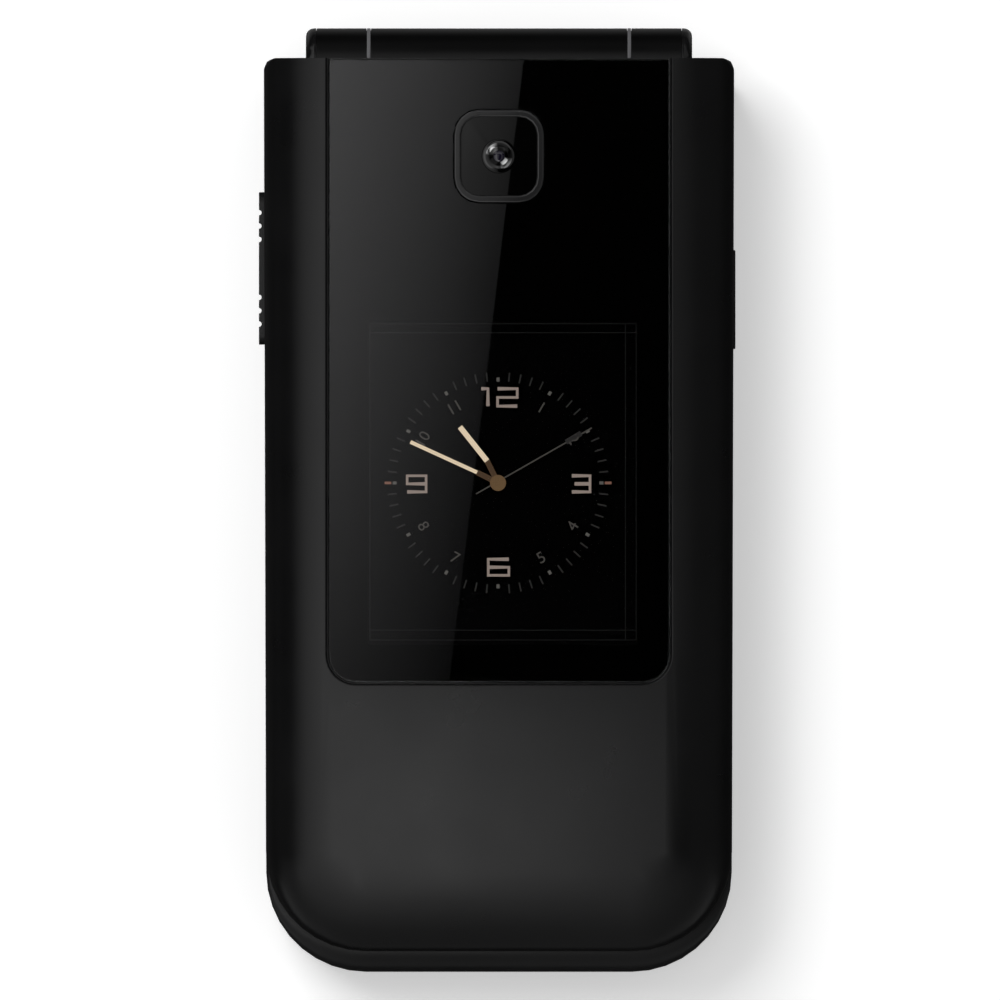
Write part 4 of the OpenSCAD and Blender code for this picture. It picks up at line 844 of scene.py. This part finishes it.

# Outer camera: a satin black ring round a gloss black floor, set into the window. In its middle
# are the lens's barrel, its rounded crest with two painted highlights, and a small domed glass.
bezel_metal = finish("bezel_metal", (0.012, 0.012, 0.0123), 0.1, 0.1 * mm, 0.0006 * mm,
                     specular=1.0)
ring_floor = finish("ring_floor", (0.0007, 0.0007, 0.0007), 0.015, 2.5 * mm, 0.0002 * mm,
                    specular=0.9)
camera_ring = merged_copy("camera_bezel", "camera_ring")
bezel_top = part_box("camera_bezel")[1][2] - 0.01 * mm
wall_foot, corner_x, floor_top = 18.2 * mm, 2.4 * mm, 18.8 * mm


def on_ring_corner(a, b):
    """Whether an edge between these ends stands upright in a corner of the ring's outer wall."""
    return upright(a, b) and abs(a.x) > corner_x and min(a.z, b.z) < wall_foot


round_edges(camera_ring, 0.3 * mm, 3, on_ring_corner)
round_edges(camera_ring, 0.2 * mm, 4, lambda a, b: min(a.z, b.z) > bezel_top)
broken_edges(camera_ring, 0.02 * mm, 1)
smooth(camera_ring)
paint(camera_ring, bezel_metal, ring_floor)
settle(camera_ring, "lid", ["camera_bezel"])
ring_spots = camera_ring.data.vertices
repaint(camera_ring, 1,
        lambda face: max(ring_spots[i].co.z for i in face.vertices) < floor_top)
lens_low, lens_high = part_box("camera_lens")
lens_x, lens_y = (lens_low[0] + lens_high[0]) / 2, (lens_low[1] + lens_high[1]) / 2
lens_r = (lens_high[0] - lens_low[0]) / 2
barrel_grey = finish("barrel_grey", (0.012, 0.012, 0.0125), 0.3, 0.06 * mm, 0.001 * mm)
# the crest's metal, its base colour painted with two highlights below
crest_metal_with_painted_bows = finish("crest_metal_with_painted_bows", (0.8, 0.8, 0.82), 0.14, 0.06 * mm, 0.0005 * mm, metallic=1.0)
# painted highlights on the crest: its base colour is brightest in two bows, where x times y of
# the direction from the axis is below zero
tree = crest_metal_with_painted_bows.node_tree
shader = tree.nodes["Principled BSDF"]
centred = added(tree, "ShaderNodeVectorMath", {1: (lens_x, lens_y, 0)}, "SUBTRACT")
flat = added(tree, "ShaderNodeVectorMath", {1: (1, 1, 0)}, "MULTIPLY")
unit = added(tree, "ShaderNodeVectorMath", operation="NORMALIZE")
parts = added(tree, "ShaderNodeSeparateXYZ")
bow = added(tree, "ShaderNodeMath", operation="MULTIPLY")
painted_highlight = added(tree, "ShaderNodeMapRange", {"From Min": -0.12, "From Max": -0.5,
                                           "To Min": 0.04, "To Max": 0.85})
link = tree.links.new
link(tree.nodes["Texture Coordinate"].outputs["Object"], centred.inputs[0])
link(centred.outputs[0], flat.inputs[0])
link(flat.outputs[0], unit.inputs[0])
link(unit.outputs[0], parts.inputs[0])
link(parts.outputs["X"], bow.inputs[0])
link(parts.outputs["Y"], bow.inputs[1])
link(bow.outputs[0], painted_highlight.inputs["Value"])
link(painted_highlight.outputs["Result"], shader.inputs["Base Color"])
crest_r, crest_half, crest_h, cup_z = 1.08 * mm, 0.42 * mm, 0.2 * mm, 18.5 * mm
lens_barrel = turned("lens_barrel", [
    (lens_r, lens_low[2]), (lens_r, cup_z - 0.02 * mm), (lens_r - 0.02 * mm, cup_z),
    (crest_r + crest_half, cup_z), (crest_r, cup_z + crest_h),
    (crest_r - crest_half, cup_z), (0.64 * mm, cup_z - 0.02 * mm),
    (0.62 * mm, cup_z - 0.16 * mm)], lens_x, lens_y, 96)
paint(lens_barrel, barrel_grey, crest_metal_with_painted_bows, ring_floor)


def lens_reach(face):
    """How far the face's middle lies from the lens's axis."""
    return math.hypot(face.center.x - lens_x, face.center.y - lens_y)


repaint(lens_barrel, 1, lambda face: abs(lens_reach(face) - crest_r) < crest_half
        and face.center.z > cup_z)
repaint(lens_barrel, 2, lambda face: lens_reach(face) > crest_r + crest_half)
settle(lens_barrel, "lid")
lens_coat = finish("lens_coat", (0.004, 0.003, 0.009), 0.03, 0.5 * mm, 0.0001 * mm, specular=1.0)
lens_dome = turned("lens_dome", [
    (0.61 * mm, cup_z - 0.16 * mm), (0.61 * mm, cup_z - 0.06 * mm), (0.5 * mm, cup_z - 0.01 * mm),
    (0.4 * mm, cup_z + 0.02 * mm), (0.28 * mm, cup_z + 0.04 * mm), (0.14 * mm, cup_z + 0.05 * mm)],
    lens_x, lens_y)
paint(lens_dome, lens_coat)
settle(lens_dome, "lid", ["camera_lens"])
paint(nodes["camera_module"], dark_plastic)

# Lid shell: moulded with rolled sides and a rounded free end, then coated soft-touch black. It
# frames the window and screws down onto the lid frame.
soft_touch = finish("soft_touch", (0.003, 0.003, 0.0032), 0.3, 0.09 * mm, 0.0016 * mm)
lid_shell = merged_copy("lid_outer_shell", "lid_shell")
corner_rise, corner_top, corner_y, corner_out = 0.5 * mm, 16.2 * mm, 48.2 * mm, 25.1 * mm
rim_z, rim_x, rim_y, rim_r = 18.95 * mm, 19.7 * mm, -21.2 * mm, 0.24 * mm


def on_corner(a, b):
    """Whether an edge between these ends climbs one of the shell's corners beside the hinge."""
    return (abs(a.z - b.z) > corner_rise and max(a.z, b.z) < corner_top
            and min(a.y, b.y) > corner_y and min(abs(a.x), abs(b.x)) > corner_out)


def on_rim(a, b):
    """Whether an edge between these ends runs round the window's opening, on the face."""
    return all(spot.z > rim_z and abs(spot.x) < rim_x and spot.y > rim_y for spot in (a, b))


round_edges(lid_shell, 0.2 * mm, 3, on_corner)
round_edges(lid_shell, rim_r, 3, on_rim)
broken_edges(lid_shell, 0.09 * mm)
smooth(lid_shell)
paint(lid_shell, soft_touch)
settle(lid_shell, "lid", ["lid_outer_shell"])

# Floor: a large sheet of white paper under the phone, lit by an even white surround and one square
# lamp at the upper left. The floor keeps the phone's shadow.
scene = bpy.context.scene
scene.view_settings.view_transform = "Standard"

world = bpy.data.worlds.new("studio")
scene.world = world
world.use_nodes = True
tree = world.node_tree
path = added(tree, "ShaderNodeLightPath")
seen = added(tree, "ShaderNodeMath", operation="MAXIMUM")
seen_any = added(tree, "ShaderNodeMath", operation="MAXIMUM")
strength = added(tree, "ShaderNodeMapRange", {"To Min": 0.5, "To Max": 1.0})
background = tree.nodes["Background"]
background.inputs["Color"].default_value = (1, 1, 1, 1)
link = tree.links.new
link(path.outputs["Is Camera Ray"], seen.inputs[0])
link(path.outputs["Is Glossy Ray"], seen.inputs[1])
link(seen.outputs[0], seen_any.inputs[0])
link(path.outputs["Is Transmission Ray"], seen_any.inputs[1])
link(seen_any.outputs[0], strength.inputs["Value"])
link(strength.outputs["Result"], background.inputs["Strength"])

floor_w, floor_z = 6, -0.05 * mm
bpy.ops.mesh.primitive_plane_add(size=floor_w, location=(0, 0, floor_z))
floor = bpy.context.object
floor.name = "floor"
paper = bpy.data.materials.new("paper")
paper.use_nodes = True
tree = paper.node_tree
shader = tree.nodes["Principled BSDF"]
for socket, value in (("Base Color", (0.8, 0.8, 0.8, 1)), ("Roughness", 0.9),
                      ("Specular IOR Level", 0.0), ("Emission Color", (1, 1, 1, 1))):
    shader.inputs[socket].default_value = value
# the paper's own light rises outwards, so that it runs into the white surround
path = added(tree, "ShaderNodeLightPath")
seen = added(tree, "ShaderNodeMath", operation="MAXIMUM")
place = added(tree, "ShaderNodeTexCoord")
reach = added(tree, "ShaderNodeVectorMath", operation="LENGTH")
rise = added(tree, "ShaderNodeMapRange", {"From Min": 0.2, "From Max": 1.6, "To Min": 0.35,
                                          "To Max": 0.75})
lift = added(tree, "ShaderNodeMath", operation="MULTIPLY")
link = tree.links.new
link(place.outputs["Object"], reach.inputs[0])
link(reach.outputs["Value"], rise.inputs["Value"])
link(path.outputs["Is Camera Ray"], seen.inputs[0])
link(path.outputs["Is Glossy Ray"], seen.inputs[1])
link(seen.outputs[0], lift.inputs[0])
link(rise.outputs["Result"], lift.inputs[1])
link(lift.outputs[0], shader.inputs["Emission Strength"])
paint(floor, paper)
floor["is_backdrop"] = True

lamp_spot, lamp_w, lamp_power = (-0.5, 0.6, 1.1), 0.7, 11
bpy.ops.object.light_add(type="AREA", location=lamp_spot)
lamp = bpy.context.object
lamp.name = "key_lamp"
lamp.data.shape = "SQUARE"
lamp.data.size = lamp_w
lamp.data.energy = lamp_power
lamp.rotation_mode = "QUATERNION"
lamp.rotation_quaternion = (-lamp.location).to_track_quat("-Z", "Y")
lamp.visible_glossy = False

# Studio cards, seen only by glossy rays: light boxes whose brightness runs from corner to corner,
# hung over the phone, and dark flags round them that keep the sides of the lid dark.
card_paper = bpy.data.materials.new("card")
card_paper.use_nodes = True
tree = card_paper.node_tree
tree.nodes.remove(tree.nodes["Principled BSDF"])
glow = added(tree, "ShaderNodeEmission")
level = added(tree, "ShaderNodeAttribute")
level.attribute_name = "level"
tree.links.new(level.outputs["Fac"], glow.inputs["Strength"])
tree.links.new(glow.outputs["Emission"], tree.nodes["Material Output"].inputs["Surface"])


def card(name, corners, levels):
    """Four-cornered card, its light running evenly between the levels at its corners: low left,
    low right, high right and high left, each an x, y, z in millimetres."""
    bpy.ops.mesh.primitive_grid_add(x_subdivisions=10, y_subdivisions=10, size=1)
    sheet = bpy.context.object
    sheet.name = name
    level = sheet.data.attributes.new("level", "FLOAT", "POINT")
    for vertex, spot in zip(sheet.data.vertices, level.data):
        u, v = vertex.co.x + 0.5, vertex.co.y + 0.5
        shares = ((1 - u) * (1 - v), u * (1 - v), u * v, (1 - u) * v)
        spot.value = sum(share * value for share, value in zip(shares, levels))
        vertex.co = [mm * sum(share * corner[i] for share, corner in zip(shares, corners))
                     for i in range(3)]
    paint(sheet, card_paper)
    for ray in ("camera", "diffuse", "volume_scatter", "shadow"):
        setattr(sheet, f"visible_{ray}", False)
    sheet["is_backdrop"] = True


rim_level, box_z, high_z, flag_z, far = 0.5, 110, 111, 113, 350
card("window_box", [(-19.6, -20.9, box_z), (-5.7, -20.9, box_z), (2.95, 51.3, box_z),
                    (-19.6, 51.3, box_z)], (0.175, 0.035, 0.14, 0.74))
# level cards: their low left and high right corners, height and levels
for name, x0, y0, x1, y1, z, levels in (
        ("side_box", -110, -60, -19.6, 60, box_z, (0.15, 1.0, 0.95, 0.15)),
        ("grip_box", -19.6, -60, 32, -20.9, box_z, (1.5, 0.0, 0.0, 1.75)),
        ("edge_box", 19.6, -20.9, 70, 60, box_z, (0.25, 0.1, 0.1, 0.25)),
        ("end_box", -110, -100, 110, -60, box_z, (0.2, 0.12, 0.0, 0.85)),
        ("far_end_box", -110, -far, 110, -100, box_z, (0.16, 0.16, 0.12, 0.2)),
        ("hinge_box", -40, 60, 40, 150, box_z, (0.6, 0.6, 0.0, 0.0)),
        ("back_left_box", -far, 85, -45, far, high_z, (0.05, 0.95, 0.15, 0.1)),
        ("back_right_box", 45, 85, far, far, high_z, (0.3, 0.15, 0.15, 0.3)),
        ("back_box", -45, 150, 45, far, high_z, (0.02, 0.02, 0.06, 0.06)),
        ("hinge_rim_box", -40, 54, 40, 95, rim_level, (0.2, 0.2, 0.0, 0.0)),
        ("front_left_box", -far, -far, -110, -60, high_z, (0.3, 0.3, 0.15, 0.1)),
        ("front_right_box", 110, -far, far, -60, high_z, (0.3, 0.3, 0.1, 0.08)),
        ("right_box", 70, -60, far, 60, high_z, (0.06, 0.05, 0.05, 0.06)),
        ("roof_flag", -far, -far, far, far, flag_z, (0, 0, 0, 0)),
        ("floor_flag", -far, -far, far, far, 0, (0.02, 0.02, 0.02, 0.02)),
        ("rim_box", -90, -60, -35, 60, rim_level, (0.04, 0.04, 0.04, 0.04))):
    card(name, [(x0, y0, z), (x1, y0, z), (x1, y1, z), (x0, y1, z)], levels)
# upright flags: the two ends of their foot and their levels
for name, (ax, ay), (bx, by), levels in (
        ("near_flag", (-far, -far), (far, -far), (0.15, 0.15, 0.2, 0.2)),
        ("left_flag", (-far, -far), (-far, far), (0.025, 0.025, 0.05, 0.05)),
        ("right_flag", (far, -far), (far, far), (0.025, 0.025, 0.05, 0.05)),
        ("back_flag", (-far, far), (far, far), (0.025, 0.025, 0.05, 0.05))):
    card(name, [(ax, ay, 0), (bx, by, 0), (bx, by, flag_z), (ax, ay, flag_z)], levels)
# corner boxes: one ahead of each free corner
for side, power in ((-1, 0.55), (1, 0.45)):
    card("corner_box", [(side * 115, -150, 5), (side * 170, -95, 5), (side * 135, -75, 70),
                        (side * 90, -120, 70)], (power, power, 0.15, 0.15))

# View camera: head-on over the lid and far off, so that the phone's sides don't show. The width of
# its frame is measured at the height of the lid's rolled sides.
frame_w, side_drop, focal, sensor = 112 * mm, 4.35 * mm, 1500, 36
bpy.ops.object.camera_add(location=(0.112 * mm, 0.02 * mm,
                                    cad_high[2] - side_drop + frame_w * focal / sensor))
camera = bpy.context.object
camera.data.lens = focal
camera.data.sensor_width = sensor
camera.data.clip_end = 10
scene.camera = camera

low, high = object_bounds()
